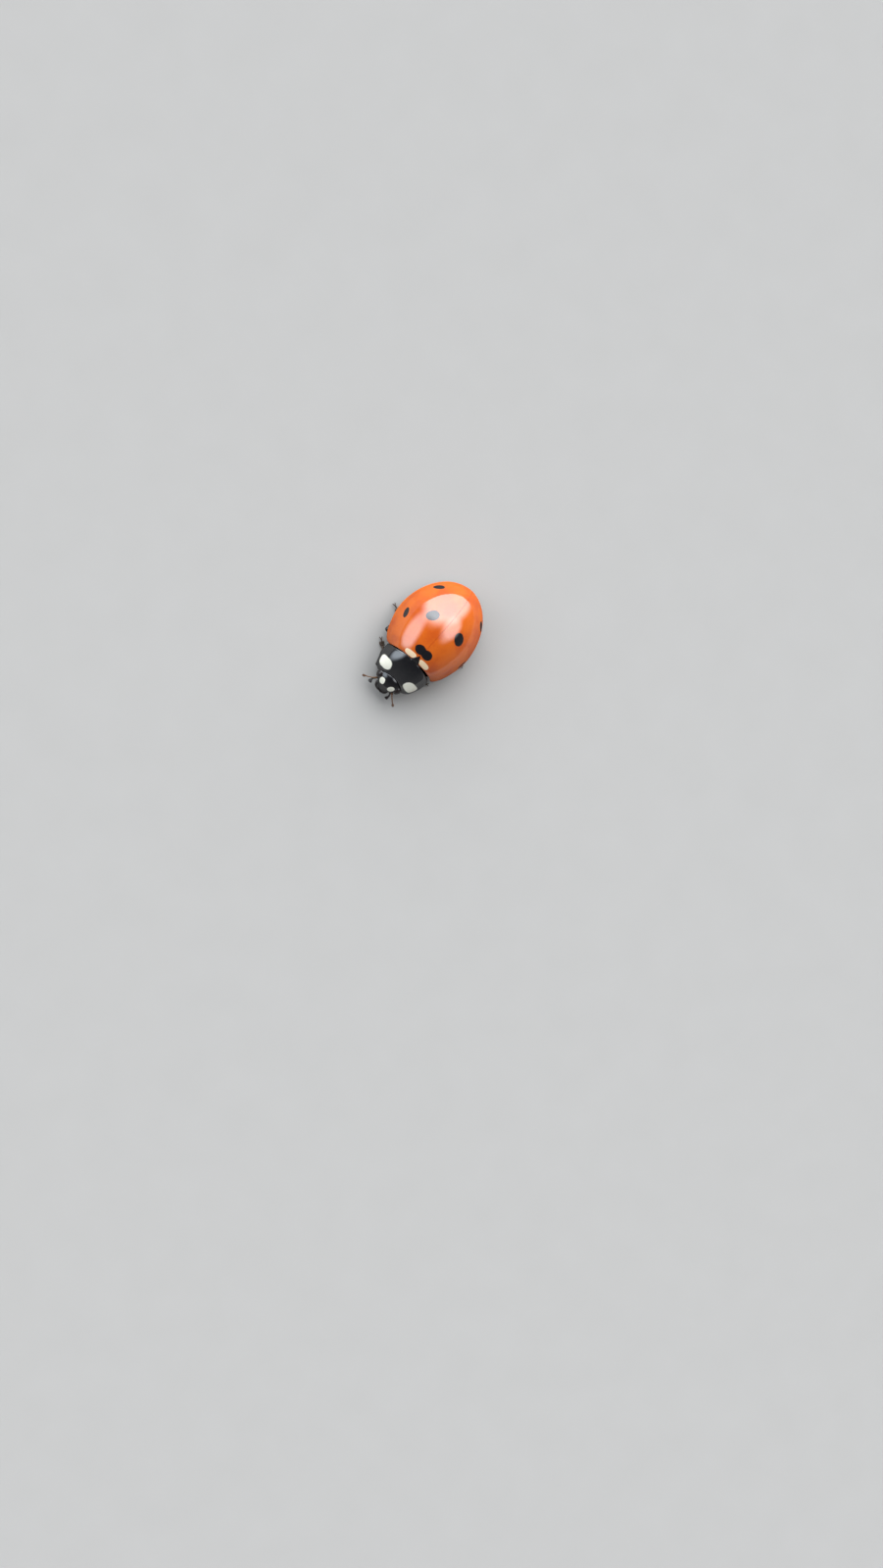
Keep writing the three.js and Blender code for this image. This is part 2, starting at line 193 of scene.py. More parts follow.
@dataclass(frozen=True)
class Bearings:
    """Where the beetle's own frame lies in the row frame.

    Attributes:
        case_length: from the front edge of the wing cases to their tip.
        front_turn: how far the shield and head are turned, in radians.
    """

    case_length: float = 5.3
    front_turn: float = math.radians(-3.8)

    @property
    def origin(self) -> Array:
        """Where the beetle's own frame starts, from the boxes of the wing cases.

        Returns:
            The point in the row frame, in millimetres.
        """
        low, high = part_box("elytron_left")
        middle = (low.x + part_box("elytron_right")[1].x) / 2
        return np.array([middle / MM, high.y / MM - self.case_length, 0.0])

    def place(self, points: Array, turned: bool) -> Array:
        """Takes points from the beetle's frame into the row frame.

        Args:
            points: points in millimetres.
            turned: whether they belong to the front of the body, which looks slightly to one side.

        Returns:
            The points in metres.
        """
        made = np.array(points, float)
        if turned:
            cos, sin = math.cos(self.front_turn), math.sin(self.front_turn)
            made[..., :2] = made[..., :2] @ np.array([[cos, sin], [-sin, cos]])
        return (made + self.origin) * MM


BEARINGS = Bearings()


# ---- mesh tools


@dataclass(frozen=True)
class Lip:
    """How a slab's edge is rounded over.

    Attributes:
        edge: which edge it is.
        bulge: how far it stands out, as a share of half the slab's thickness there.
        square: 2 for a round lip, more for a flat one with small corners.
        steps: rows of faces from each face of the slab to the middle of the lip.
    """

    edge: Edge
    bulge: float = 1.0
    square: float = 2.0
    steps: int = 4


class Cast:
    """The points and faces of one piece, gathered in millimetres before they become a mesh."""

    def __init__(self) -> None:
        """Starts with nothing."""
        self.points: list[Array] = []
        self.faces: list[list[int]] = []
        self.count = 0

    def add(self, points: Array, faces: Array) -> None:
        """Adds points, and faces that number them from 0.

        Args:
            points: the points.
            faces: a row of point numbers for each face.
        """
        flat = np.asarray(points, float).reshape(-1, 3)
        self.points.append(flat)
        self.faces.extend((np.asarray(faces) + self.count).tolist())
        self.count += len(flat)

    def sheet(self, grid: Array, around: bool = False, flip: bool = False) -> Cast:
        """Adds a grid of points as a sheet of faces.

        Args:
            grid: rows and columns of points.
            around: whether the last column joins the first.
            flip: whether the faces look the other way.

        Returns:
            The cast.
        """
        rows, columns = grid.shape[:2]
        index = np.arange(rows * columns).reshape(rows, columns)
        if around:
            index = np.concatenate([index, index[:, :1]], axis=1)
        quads = np.stack([index[:-1, :-1], index[:-1, 1:], index[1:, 1:], index[1:, :-1]], -1).reshape(-1, 4)
        self.add(grid, quads[:, ::-1] if flip else quads)
        return self

    def slab(self, outer: Array, inner: Array, *lips: Lip) -> Cast:
        """Adds a closed slab between two grids of points.

        Args:
            outer: the outer face.
            inner: the inner face, with as many rows and columns.
            lips: how its edges are rounded; every edge needs one.

        Returns:
            The cast.
        """
        for lip in lips:
            outer, inner = self._rounded(outer, inner, lip)
        return self.sheet(outer).sheet(inner, flip=True)

    def plate(self, outer: Array, inner: Array, bulge: float) -> Cast:
        """Adds a slab with the same lip on every edge."""
        return self.slab(outer, inner, *[Lip(edge, bulge=bulge) for edge in Edge])

    def rod(self, limb: Limb) -> Cast:
        """Adds a limb."""
        return self.sheet(limb.grid(), around=True)

    @staticmethod
    def _rounded(outer: Array, inner: Array, lip: Lip) -> tuple[Array, Array]:
        """Adds rows to both faces of a slab, up to the middle of a lip.

        Args:
            outer: the outer face.
            inner: the inner face.
            lip: the lip.

        Returns:
            Both faces with the added rows.
        """
        axis, end = lip.edge.value
        place, before = (0, 1) if end == 0 else (-1, -2)
        middles = [(np.take(outer, [k], axis) + np.take(inner, [k], axis)) / 2 for k in (place, before)]
        half = np.take(outer, [place], axis) - middles[0]
        reach = unit(middles[0] - middles[1]) * np.linalg.norm(half, axis=-1, keepdims=True) * lip.bulge
        turns = np.linspace(0, math.pi / 2, lip.steps + 1)[1:]
        faces = []
        for face, sign in ((outer, 1), (inner, -1)):
            rows = [
                middles[0]
                + sign * half * max(0.0, math.cos(turn)) ** (2 / lip.square) * (turn < turns[-1])
                + reach * math.sin(turn) ** (2 / lip.square)
                for turn in turns
            ]
            faces.append(np.concatenate(rows[::-1] + [face] if end == 0 else [face] + rows, axis))
        return faces[0], faces[1]

    def object(
        self, name: str, material: bpy.types.Material, slot: Slot, turned: bool = False
    ) -> bpy.types.Object:
        """Makes the mesh, welded and smooth, riding on the body.

        Args:
            name: the piece's name.
            material: its material.
            slot: a slot of the record; not used.
            turned: whether it turns with the head.

        Returns:
            The piece.
        """
        mesh = bpy.data.meshes.new(name)
        mesh.from_pydata(BEARINGS.place(np.concatenate(self.points), turned).tolist(), [], self.faces)
        form = bmesh.new()
        form.from_mesh(mesh)
        bmesh.ops.remove_doubles(form, verts=form.verts, dist=WELD)
        bmesh.ops.dissolve_degenerate(form, dist=WELD / 10, edges=form.edges)
        bmesh.ops.recalc_face_normals(form, faces=form.faces)
        form.to_mesh(mesh)
        form.free()
        mesh.shade_smooth()
        mesh.set_sharp_from_angle(angle=SHARP)
        mesh.materials.append(material)
        piece = bpy.data.objects.new(name, mesh)
        bpy.context.scene.collection.objects.link(piece)
        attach(piece, BODY)
        return piece


@dataclass(frozen=True)
class Limb:
    """A rounded rod along a smooth line, closed by a rounded end at each side.

    Attributes:
        line: points that its middle line passes through, evenly spaced.
        radii: its radius along the line, evenly spaced.
        flat: its thickness along up, as a share of its width.
        up: the direction that it is flattened along.
        blunt: how soon its ends reach their full radius, as a share of that radius.
        rows: the rings of points along it.
        sides: the points round each ring.
    """

    line: Sequence[Sequence[float]]
    radii: Sequence[float]
    flat: float = 1.0
    up: Sequence[float] = UP
    blunt: float = 1.0
    rows: int = 24
    sides: int = 16

    def grid(self) -> Array:
        """Works out the rings of points.

        Returns:
            The points: a row for each ring.
        """
        share = (1 - np.cos(np.linspace(0, math.pi, self.rows))) / 2
        line = through(self.line, share)
        length = np.linalg.norm(np.diff(line, axis=0), axis=1).sum()
        radius = np.maximum(0, through(self.radii, share))
        for end, gone in ((self.radii[0], share), (self.radii[-1], 1 - share)):
            cap = min(0.5, max(1e-6, end * self.blunt / length))
            radius = radius * arc(1 - np.minimum(1, gone / cap), 2)
        along = unit(np.gradient(line, axis=0))
        aside = unit(np.cross(along, np.asarray(self.up, float)))
        above = np.cross(aside, along)
        turn = np.linspace(0, 2 * math.pi, self.sides, endpoint=False)[None, :, None]
        ring = aside[:, None] * np.cos(turn) + above[:, None] * np.sin(turn) * self.flat
        return line[:, None] + radius[:, None, None] * ring


def ball(centre: Sequence[float], half: Sequence[float], around: int = 28, down: int = 20) -> Array:
    """An ellipsoid.

    Args:
        centre: its centre.
        half: half its size each way.
        around: points round it.
        down: rows from its lowest to its highest point.

    Returns:
        Its points: a row for each height.
    """
    turn = np.linspace(0, 2 * math.pi, around, endpoint=False)[None, :]
    rise = np.linspace(-math.pi / 2, math.pi / 2, down)[:, None]
    way = np.stack([np.cos(turn) * np.cos(rise), np.sin(turn) * np.cos(rise), np.sin(rise) + 0 * turn], -1)
    return way * np.array(half) + np.array(centre)


# ---- the outer form


@dataclass(frozen=True)
class Dome:
    """The dome that both wing cases share. Its width and height come from the frame.

    Attributes:
        widest: where it is widest.
        front: where the front half of its plan would close.
        plan: the powers of the plan's rear and front arcs.
        highest: where it is highest.
        crest_front: where the front half of the crest line would come down.
        crest: the powers of the crest line's rear and front arcs.
        section: the power of the cross-section.
        rise: how far the rim rises at the shoulders.
        drop: how far it drops at the tip.
        bow: how far the front edge reaches ahead beside the middle.
        shoulder: the share of the width from which the front edge is swept back.
        sweep: how far it is swept back at the rim.
        roll: how much of its height the front edge loses, in the middle and at the shoulder.
        roll_reach: the share of the length over which it does.
        roll_spread: the shares of the width between which the loss grows.
        crowding: how rows crowd towards the tip.
    """

    widest: float = 2.17
    front: float = -1.2
    plan: tuple[float, float] = (1.87, 1.92)
    highest: float = 1.98
    crest_front: float = -1.75
    crest: tuple[float, float] = (2.08, 2.14)
    section: float = 2.14
    rise: float = 0.2
    drop: float = 0.06
    bow: float = 0.15
    shoulder: float = 0.55
    sweep: float = 0.68
    roll: tuple[float, float] = (0.05, 0.82)
    roll_reach: float = 0.065
    roll_spread: tuple[float, float] = (0.4, 0.95)
    crowding: float = 1.8

    @property
    def length(self) -> float:
        """From the front edge to the tip."""
        return BEARINGS.case_length

    @property
    def half_width(self) -> float:
        """From the suture to the rim."""
        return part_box("elytron_left")[1].x / MM - BEARINGS.origin[0] - 0.02

    @property
    def rim(self) -> float:
        """The height of the rim where it is widest."""
        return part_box("elytron_left")[0].z / MM + self.drop

    @property
    def top(self) -> float:
        """The height of the crest."""
        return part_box("elytron_left")[1].z / MM

    def half_width_at(self, y: Array) -> Array:
        """Half the width at a place.

        Args:
            y: the place, along the beetle.

        Returns:
            The half width.
        """
        rear = arc((y - self.widest) / (self.length - self.widest), self.plan[0])
        ahead = arc((self.widest - y) / (self.widest - self.front), self.plan[1])
        return self.half_width * np.where(y > self.widest, rear, ahead)

    def crest_at(self, y: Array) -> Array:
        """How high the crest rises over the rim's level.

        Args:
            y: the place, along the beetle.

        Returns:
            The height.
        """
        rear = arc((y - self.highest) / (self.length - self.highest), self.crest[0])
        ahead = arc((self.highest - y) / (self.highest - self.crest_front), self.crest[1])
        return (self.top - self.rim) * np.where(y > self.highest, rear, ahead)

    def rim_at(self, y: Array) -> Array:
        """How high the rim is.

        Args:
            y: the place, along the beetle.

        Returns:
            The height.
        """
        rear = -self.drop * ((y - self.widest) / (self.length - self.widest)) ** 2
        ahead = self.rise * ((self.widest - y) / self.widest) ** 2
        return self.rim + np.where(y > self.widest, rear, ahead)

    def height_at(self, x: Array, y: Array) -> Array:
        """The height of the dome over a place in plan."""
        share = np.abs(x) / np.maximum(1e-6, self.half_width_at(y))
        return self.rim_at(y) + (self.rim + self.crest_at(y) - self.rim_at(y)) * arc(share, self.section)

    def base_height_at(self, x: Array, y: Array) -> Array:
        """How high the dome is near the middle of its front edge, where it is rolled down.

        Args:
            x: across.
            y: along.

        Returns:
            The height.
        """
        along = 1 - (1 - np.maximum(0, y) / self.length) ** (1 / self.crowding)
        short = 1 - np.minimum(1, along / self.roll_reach)
        kept = 1 - self.roll[0] * (1 - np.sqrt(1 - short**2))
        return self.rim_at(y) + (self.height_at(x, y) - self.rim_at(y)) * kept

    def normal_at(self, x: float, y: float) -> Array:
        """The way out of the dome.

        Args:
            x: across.
            y: along.

        Returns:
            The direction.
        """
        step = 0.01
        rise_x = (self.height_at(x + step, y) - self.height_at(x - step, y)) / (2 * step)
        rise_y = (self.height_at(x, y + step) - self.height_at(x, y - step)) / (2 * step)
        return unit(np.array([-float(rise_x), -float(rise_y), 1.0]))

    def points(self, across: Array, along: Array, seam: Array, inset: Array) -> Array:
        """Points of the left half.

        Args:
            across: from 0 at the suture to 1 at the rim.
            along: from 0 at the front edge to 1 at the tip.
            seam: how far the suture edge stands from the middle, as a function of y.
            inset: how far the surface lies inside the widest outline.

        Returns:
            The points.
        """
        swept = np.maximum(0, (across - self.shoulder) / (1 - self.shoulder)) ** 3
        front = self.sweep * swept - self.bow * np.sin(across * math.pi / 2) ** 2
        y = front + (self.length - front) * (1 - (1 - along) ** self.crowding)
        width = self.half_width_at(y) - inset * smooth(self.half_width_at(y), 0, 0.6)
        start = np.minimum(0.9, seam(y) / np.maximum(width, 1e-6))
        share = start + (1 - start) * np.sin(across * math.pi / 2)
        rim = self.rim_at(y)
        rise = (self.rim + self.crest_at(y) - rim) * arc(share, self.section)
        short = 1 - np.minimum(1, along / self.roll_reach)
        strength = between(self.roll, smooth(across, *self.roll_spread))
        return np.stack([share * width, y, rim + rise * (1 - strength * (1 - np.sqrt(1 - short**2)))], -1)


@dataclass(frozen=True)
class ShieldForm:
    """The outer form of the pronotum.

    Attributes:
        front: y of its front edge in the middle, and how far the corners reach ahead of it.
        rear: y of its rear edge in the middle, and how far the corners lie ahead of it.
        rear_power: how squarely the rear edge is bowed.
        corner: how far the rear corners are drawn back again.
        width: half its width at the front and at its widest.
        widest: where it is widest, as a share of the way back.
        tuck: how far the front and rear corners are rounded in.
        front_round: the share of the way back over which the front corners are rounded.
        crest: the heights of its middle line at the front and rear.
        rims: the heights of its side rims at the front and rear.
        section: the power of the cross-section.
    """

    front: tuple[float, float] = (-1.36, 0.27)
    rear: tuple[float, float] = (-0.055, 0.07)
    rear_power: float = 2.2
    corner: float = 0.10
    width: tuple[float, float] = (1.17, 1.58)
    widest: float = 0.82
    tuck: tuple[float, float] = (0.2, 0.14)
    front_round: float = 0.2
    crest: tuple[float, float] = (2.02, 2.8)
    rims: tuple[float, float] = (1.22, 1.36)
    section: float = 2.3

    def half_width_at(self, back: Array) -> Array:
        """Half the width.

        Args:
            back: the share of the way back.

        Returns:
            The half width.
        """
        opening = np.sin(math.pi / 2 * np.minimum(1, back / self.widest))
        rear = np.maximum(0, (back - self.widest) / (1 - self.widest)) ** 2
        front = np.maximum(0, 1 - back / self.front_round) ** 2
        return between(self.width, opening) - self.tuck[1] * rear - self.tuck[0] * front

    def points(self, across: Array, back: Array, inset: Array) -> Array:
        """Points of the shield.

        Args:
            across: from -1 at the right rim to 1 at the left.
            back: from 0 at the front edge to 1 at the rear edge.
            inset: how far the surface lies inside the widest outline.

        Returns:
            The points.
        """
        share = np.sin(across * math.pi / 2)
        front = self.front[0] - self.front[1] * share**2
        bow = self.rear[1] * np.abs(share) ** self.rear_power
        rear = self.rear[0] - bow + self.corner * share**8
        crest = between(self.crest, 0.35 * back + 0.65 * (1 - (1 - back) ** 2))
        rim = between(self.rims, back)
        height = rim + (crest - rim) * arc(share, self.section)
        x = share * (self.half_width_at(back) - inset)
        return np.stack([x, front + (rear - front) * back, height], -1)


DOME = Dome()
SHIELD = ShieldForm()


# ---- shader maths

Operand = Union["Flow", float, Sequence[float]]


class Flow:
    """The output of a shader node, with arithmetic that adds nodes."""

    def __init__(self, painter: Painter, socket: bpy.types.NodeSocket) -> None:
        """Wraps one output socket.

        Args:
            painter: the tree that the socket is in.
            socket: the output socket.
        """
        self.painter = painter
        self.socket = socket

    def _join(self, operation: str, first: Operand, second: Operand) -> Flow:
        """Adds a Math node, or a Vector Math node if either operand is a vector.

        Args:
            operation: the node's operation.
            first: the first operand.
            second: the second operand.

        Returns:
            The node's output.
        """
        wide = [getattr(x, "socket", None) is not None and x.socket.type in ("VECTOR", "RGBA")
                or isinstance(x, (tuple, list)) for x in (first, second)]
        kind = "ShaderNodeVectorMath" if any(wide) else "ShaderNodeMath"
        return self.painter.node(kind, {"operation": operation}, {0: first, 1: second})

    def __add__(self, other: Operand) -> Flow:
        """self + other."""
        return self._join("ADD", self, other)

    __radd__ = __add__

    def __sub__(self, other: Operand) -> Flow:
        """self - other."""
        return self._join("SUBTRACT", self, other)

    def __rsub__(self, other: Operand) -> Flow:
        """other - self."""
        return self._join("SUBTRACT", other, self)

    def __mul__(self, other: Operand) -> Flow:
        """self * other."""
        return self._join("MULTIPLY", self, other)

    __rmul__ = __mul__

    def __pow__(self, other: Operand) -> Flow:
        """self ** other."""
        return self._join("POWER", self, other)

    def __abs__(self) -> Flow:
        """Its absolute value, or each component's."""
        return self._join("ABSOLUTE", self, 0.0) if self.socket.type == "VALUE" else self.painter.node(
            "ShaderNodeVectorMath", {"operation": "ABSOLUTE"}, {0: self})

    def over(self, other: Operand) -> Flow:
        """The larger of the two."""
        return self._join("MAXIMUM", self, other)

    def dot(self, way: Sequence[float]) -> Flow:
        """How far a vector reaches along a direction."""
        sockets = {0: self, 1: tuple(float(x) for x in way)}
        return self.painter.node("ShaderNodeVectorMath", {"operation": "DOT_PRODUCT"}, sockets, "Value")


class Painter:
    """Builds one tree of shader nodes."""

    def __init__(self, name: str) -> None:
        """Starts a material with an empty tree.

        Args:
            name: the material's name.
        """
        self.material: Optional[bpy.types.Material] = bpy.data.materials.new(name)
        self.material.use_nodes = True
        self.tree = self.material.node_tree
        self.tree.nodes.clear()

    @classmethod
    def on(cls, tree: bpy.types.NodeTree) -> Painter:
        """A painter for a tree that is no material's.

        Args:
            tree: the tree, such as the room's, which is emptied first.

        Returns:
            The painter.
        """
        painter = cls.__new__(cls)
        painter.material, painter.tree = None, tree
        tree.nodes.clear()
        return painter

    def node(
        self,
        kind: str,
        settings: Mapping[str, object],
        sockets: Mapping[Union[str, int], Operand],
        output: Union[str, int] = 0,
    ) -> Optional[Flow]:
        """Adds a node.

        Args:
            kind: the node's type.
            settings: its properties, which are set first.
            sockets: its inputs, by name or place, each a value or a link.
            output: the output to return.

        Returns:
            That output, or None where the node has none.
        """
        made = self.tree.nodes.new(kind)
        for name, value in settings.items():
            setattr(made, name, value)
        for place, value in sockets.items():
            if isinstance(value, Flow):
                self.tree.links.new(value.socket, made.inputs[place])
            else:
                made.inputs[place].default_value = value
        return Flow(self, made.outputs[output]) if len(made.outputs) else None

    def place(self, turned: bool = False) -> Flow:
        """The point being shaded, in millimetres in the beetle's frame.

        Args:
            turned: whether the piece turns with the head, which is then undone.

        Returns:
            The point.
        """
        spot = self.node("ShaderNodeTexCoord", {}, {}, "Object")
        here = spot * ((1 / MM,) * 3) - tuple(float(x) for x in BEARINGS.origin)
        if not turned:
            return here
        settings = {"rotation_type": "Z_AXIS"}
        return self.node("ShaderNodeVectorRotate", settings, {"Vector": here, "Angle": -BEARINGS.front_turn})

    def noise(self, place: Flow, scale: float, detail: float = 3.0) -> Flow:
        """Smooth noise.

        Args:
            place: where it is read.
            scale: features per millimetre.
            detail: the octaves of finer noise.

        Returns:
            The noise, from 0 to 1.
        """
        return self.node("ShaderNodeTexNoise", {}, {"Vector": place, "Scale": scale, "Detail": detail}, "Fac")

    def gloss(self, weight: float) -> Flow:
        """The weight of a clear coat that thins out where the surface turns away from the eye."""
        facing = self.node("ShaderNodeLayerWeight", {}, {"Blend": 0.5}, "Facing")
        return (1.0 - facing) * weight

    def pits(self, place: Flow, scale: float, size: float) -> Flow:
        """Round pits scattered over a surface.

        Args:
            place: where they are read.
            scale: pits per millimetre.
            size: a pit's radius, as a share of the way between pits.

        Returns:
            The height: 1 between pits and 0 in the middle of each.
        """
        gone = self.node("ShaderNodeTexVoronoi", {}, {"Vector": place, "Scale": scale}, "Distance")
        return self.step(gone, 0.0, size)

    def step(self, value: Flow, low: float, high: float) -> Flow:
        """A smooth step.

        Args:
            value: what is stepped.
            low: where the step is 0.
            high: where the step is 1; it may be below low.

        Returns:
            The step, from 0 to 1.
        """
        sockets = {"Value": value, "From Min": min(low, high), "From Max": max(low, high)}
        rising = self.node("ShaderNodeMapRange", {"interpolation_type": "SMOOTHSTEP"}, sockets)
        return rising if low < high else 1.0 - rising

    def mix(self, share: Operand, first: Operand, second: Operand) -> Flow:
        """Mixes two colours.

        Args:
            share: 0 for the first and 1 for the second.
            first: a colour.
            second: a colour.

        Returns:
            The mixed colour.
        """
        colours = [x if isinstance(x, Flow) else (*x, 1.0) for x in (first, second)]
        return self.node("ShaderNodeMix", {"data_type": "RGBA"}, {0: share, 6: colours[0], 7: colours[1]}, 2)

    def relief(self, height: Flow, depth: float) -> Flow:
        """A bumped normal.

        Args:
            height: the height, from 0 to 1.
            depth: what a height of 1 stands for, in millimetres.

        Returns:
            The normal.
        """
        return self.node("ShaderNodeBump", {}, {"Distance": depth * MM, "Height": height}, "Normal")

    def surface(self, sockets: Mapping[str, Operand]) -> bpy.types.Material:
        """Ends the tree with a Principled shader.

        Args:
            sockets: its inputs by name.

        Returns:
            The material.
        """
        given = {k: (*v, 1.0) if isinstance(v, tuple) and "Color" in k else v for k, v in sockets.items()}
        shader = self.node("ShaderNodeBsdfPrincipled", {}, given)
        self.node("ShaderNodeOutputMaterial", {}, {"Surface": shader})
        return self.material


# ---- finishes


@dataclass(frozen=True)
class Spot:
    """A marking on the left half of a surface, mirrored to the right by the finish.

    Attributes:
        place: its middle: x, and y or the share of the way back.
        half: half its size across and along the beetle, measured on the surface.
        lean: how far it is turned, in degrees.
        square: 2 for an oval, more for a squarer form.
        side: the side that it is on, or None where both have it.
        DEEPEST: how far below its middle it still reaches.
    """

    DEEPEST: ClassVar[float] = 0.4

    place: tuple[float, float]
    half: tuple[float, float]
    lean: float = 0.0
    square: float = 2.0
    side: Optional[Side] = None

    def mask(
        self, painter: Painter, here: Flow, middle: Array, normal: Array, ragged: Flow, soft: float
    ) -> Flow:
        """Where the marking is.

        Args:
            painter: the material's painter.
            here: the point being shaded, on the left half.
            middle: the marking's middle on the surface.
            normal: the way out of the surface there.
            ragged: what is added to the distance, to make its edge uneven.
            soft: the width of its edge, as a share of its size.

        Returns:
            1 inside and 0 outside.
        """
        aside = unit(np.cross([0.0, 1.0, 0.0], normal))
        along = np.cross(normal, aside)
        cos, sin = math.cos(math.radians(self.lean)), math.sin(math.radians(self.lean))
        offset = here - tuple(float(x) for x in middle)
        first = abs(offset.dot((aside * cos + along * sin) / self.half[0]))
        second = abs(offset.dot((along * cos - aside * sin) / self.half[1]))
        gone = (first**self.square + second**self.square) ** (1 / self.square)
        near = painter.step(offset.dot(normal), -self.DEEPEST, 0.1 - self.DEEPEST)
        return painter.step(gone + ragged, 1 + soft, 1 - soft) * near


@dataclass(frozen=True)
class CaseFinish:
    """Glossy orange-red cuticle with black spots and cream patches beside the scutellum.

    Attributes:
        orange: its colour.
        deep: what it is clouded and flecked with.
        margin: its colour along the rims.
        black: the colour of the spots.
        cream: the colour of the patches.
        spots: the black spots.
        patches: the cream patches.
        ragged: how uneven the markings' edges are.
        pits: pits per millimetre.
        depth: how deep they are.
    """

    orange: Colour = (0.575, 0.110, 0.005)
    deep: Colour = (0.48, 0.073, 0.004)
    margin: Colour = (0.595, 0.125, 0.005)
    black: Colour = (0.0045, 0.004, 0.005)
    cream: Colour = (0.88, 0.665, 0.42)
    spots: tuple[Spot, ...] = (
        Spot((0.23, 0.66), (0.34, 0.275)),
        Spot((1.0, 2.53), (0.30, 0.385), lean=42.0),
        Spot((2.12, 1.75), (0.19, 0.335), lean=-30.0, side=Side.RIGHT),
        Spot((2.34, 1.75), (0.24, 0.31), lean=-10.0, side=Side.LEFT),
        Spot((1.655, 4.09), (0.35, 0.23), lean=-30.0),
    )
    patches: tuple[Spot, ...] = (Spot((0.50, 0.16), (0.36, 0.165), lean=-4.0, square=2.6),)
    ragged: float = 0.16
    pits: float = 13.0
    depth: float = 0.0025

    def _markings(self, painter: Painter, spots: Sequence[Spot], ragged: Flow) -> Flow:
        """Where any of some markings is.

        Args:
            painter: the material's painter.
            spots: the markings.
            ragged: what makes their edges uneven.

        Returns:
            1 inside and 0 outside.
        """
        x, y, z = self._parts(painter)
        here = painter.node("ShaderNodeCombineXYZ", {}, {0: abs(x), 1: y, 2: z})
        found: Optional[Flow] = None
        for spot in spots:
            middle = np.array([*spot.place, float(DOME.height_at(*spot.place))])
            mask = spot.mask(painter, here, middle, DOME.normal_at(*spot.place), ragged, 0.06)
            if spot.side:
                mask = mask * painter.step(x * spot.side.value, 0.0, 0.01)
            found = mask if found is None else found.over(mask)
        return found

    @staticmethod
    def _parts(painter: Painter) -> tuple[Flow, Flow, Flow]:
        """The three components of the point being shaded."""
        split = painter.node("ShaderNodeSeparateXYZ", {}, {0: painter.place()})
        return tuple(Flow(painter, out) for out in split.socket.node.outputs)

    def paint(self) -> bpy.types.Material:
        """Makes the material.

        Returns:
            The material.
        """
        painter = Painter("wing_case_orange")
        here = painter.place()
        x, _, z = self._parts(painter)
        ragged = (painter.noise(here, 5.0) - 0.5) * self.ragged
        clouds = painter.noise(here, 0.9, 4.0)
        flecks = painter.noise(here, 9.0, 2.0)
        ground = painter.mix(painter.step(clouds, 0.38, 0.68), self.orange, self.deep)
        ground = painter.mix(painter.step(z, DOME.rim + 0.32, DOME.rim) * 0.8, ground, self.margin)
        ground = painter.mix(painter.step(flecks, 0.55, 0.8) * 0.35, ground, self.deep)
        ground = painter.mix(painter.step(abs(x), 0.055, 0.02) * 0.7, ground, self.deep)
        ground = painter.mix(self._markings(painter, self.patches, ragged), ground, self.cream)
        ground = painter.mix(self._markings(painter, self.spots, ragged), ground, self.black)
        pits = painter.pits(here, self.pits, 0.34)
        waves = painter.noise(here, 2.2, 2.0)
        relief = painter.relief(pits * 0.6 + waves * 0.4, self.depth)
        return painter.surface({
            "Base Color": ground,
            "Roughness": 0.28 + flecks * 0.10,
            "IOR": CUTICLE_IOR,
            "Specular IOR Level": 0.0,
            "Coat Weight": painter.gloss(1.0),
            "Coat Roughness": 0.07,
            "Coat IOR": VARNISH_IOR,
            "Normal": relief,
        })


@dataclass(frozen=True)
class BlackFinish:
    """Black cuticle with fine pits, and pale markings if it has any.

    Attributes:
        name: the material's name.
        black: its colour.
        tint: what it is clouded with.
        pale: the colour of the markings.
        marks: pale markings as (middle, way out, spot).
        turned: whether it turns with the head.
        ragged: how uneven the markings' edges are.
        roughness: of its surface.
        coat: how glossy its outer layer is.
        pits: pits per millimetre.
        depth: how deep they are.
    """

    name: str
    black: Colour = (0.004, 0.0037, 0.0045)
    tint: Colour = (0.008, 0.0068, 0.0068)
    pale: Colour = (0.92, 0.89, 0.74)
    marks: tuple[tuple[Point, Point, Spot], ...] = ()
    turned: bool = False
    ragged: float = 0.2
    roughness: float = 0.26
    coat: float = 0.8
    pits: float = 15.0
    depth: float = 0.0022

    def paint(self) -> bpy.types.Material:
        """Makes the material.

        Returns:
            The material.
        """
        painter = Painter(self.name)
        here = painter.place(self.turned)
        clouds = painter.noise(here, 3.0, 4.0)
        ground = painter.mix(painter.step(clouds, 0.4, 0.7), self.black, self.tint)
        if self.marks:
            split = painter.node("ShaderNodeSeparateXYZ", {}, {0: here})
            x, y, z = (Flow(painter, out) for out in split.socket.node.outputs)
            mirrored = painter.node("ShaderNodeCombineXYZ", {}, {0: abs(x), 1: y, 2: z})
            ragged = (painter.noise(here, 6.0) - 0.5) * self.ragged
            for middle, normal, spot in self.marks:
                mask = spot.mask(painter, mirrored, np.array(middle), unit(np.array(normal)), ragged, 0.08)
                ground = painter.mix(mask, ground, self.pale)
        relief = painter.relief(painter.pits(here, self.pits, 0.36) * 0.8 + clouds * 0.2, self.depth)
        return painter.surface({
            "Base Color": ground,
            "Roughness": self.roughness + clouds * 0.12,
            "IOR": CUTICLE_IOR,
            "Specular IOR Level": 0.03,
            "Coat Weight": painter.gloss(self.coat),
            "Coat Roughness": 0.09,
            "Coat IOR": VARNISH_IOR,
            "Normal": relief,
        })


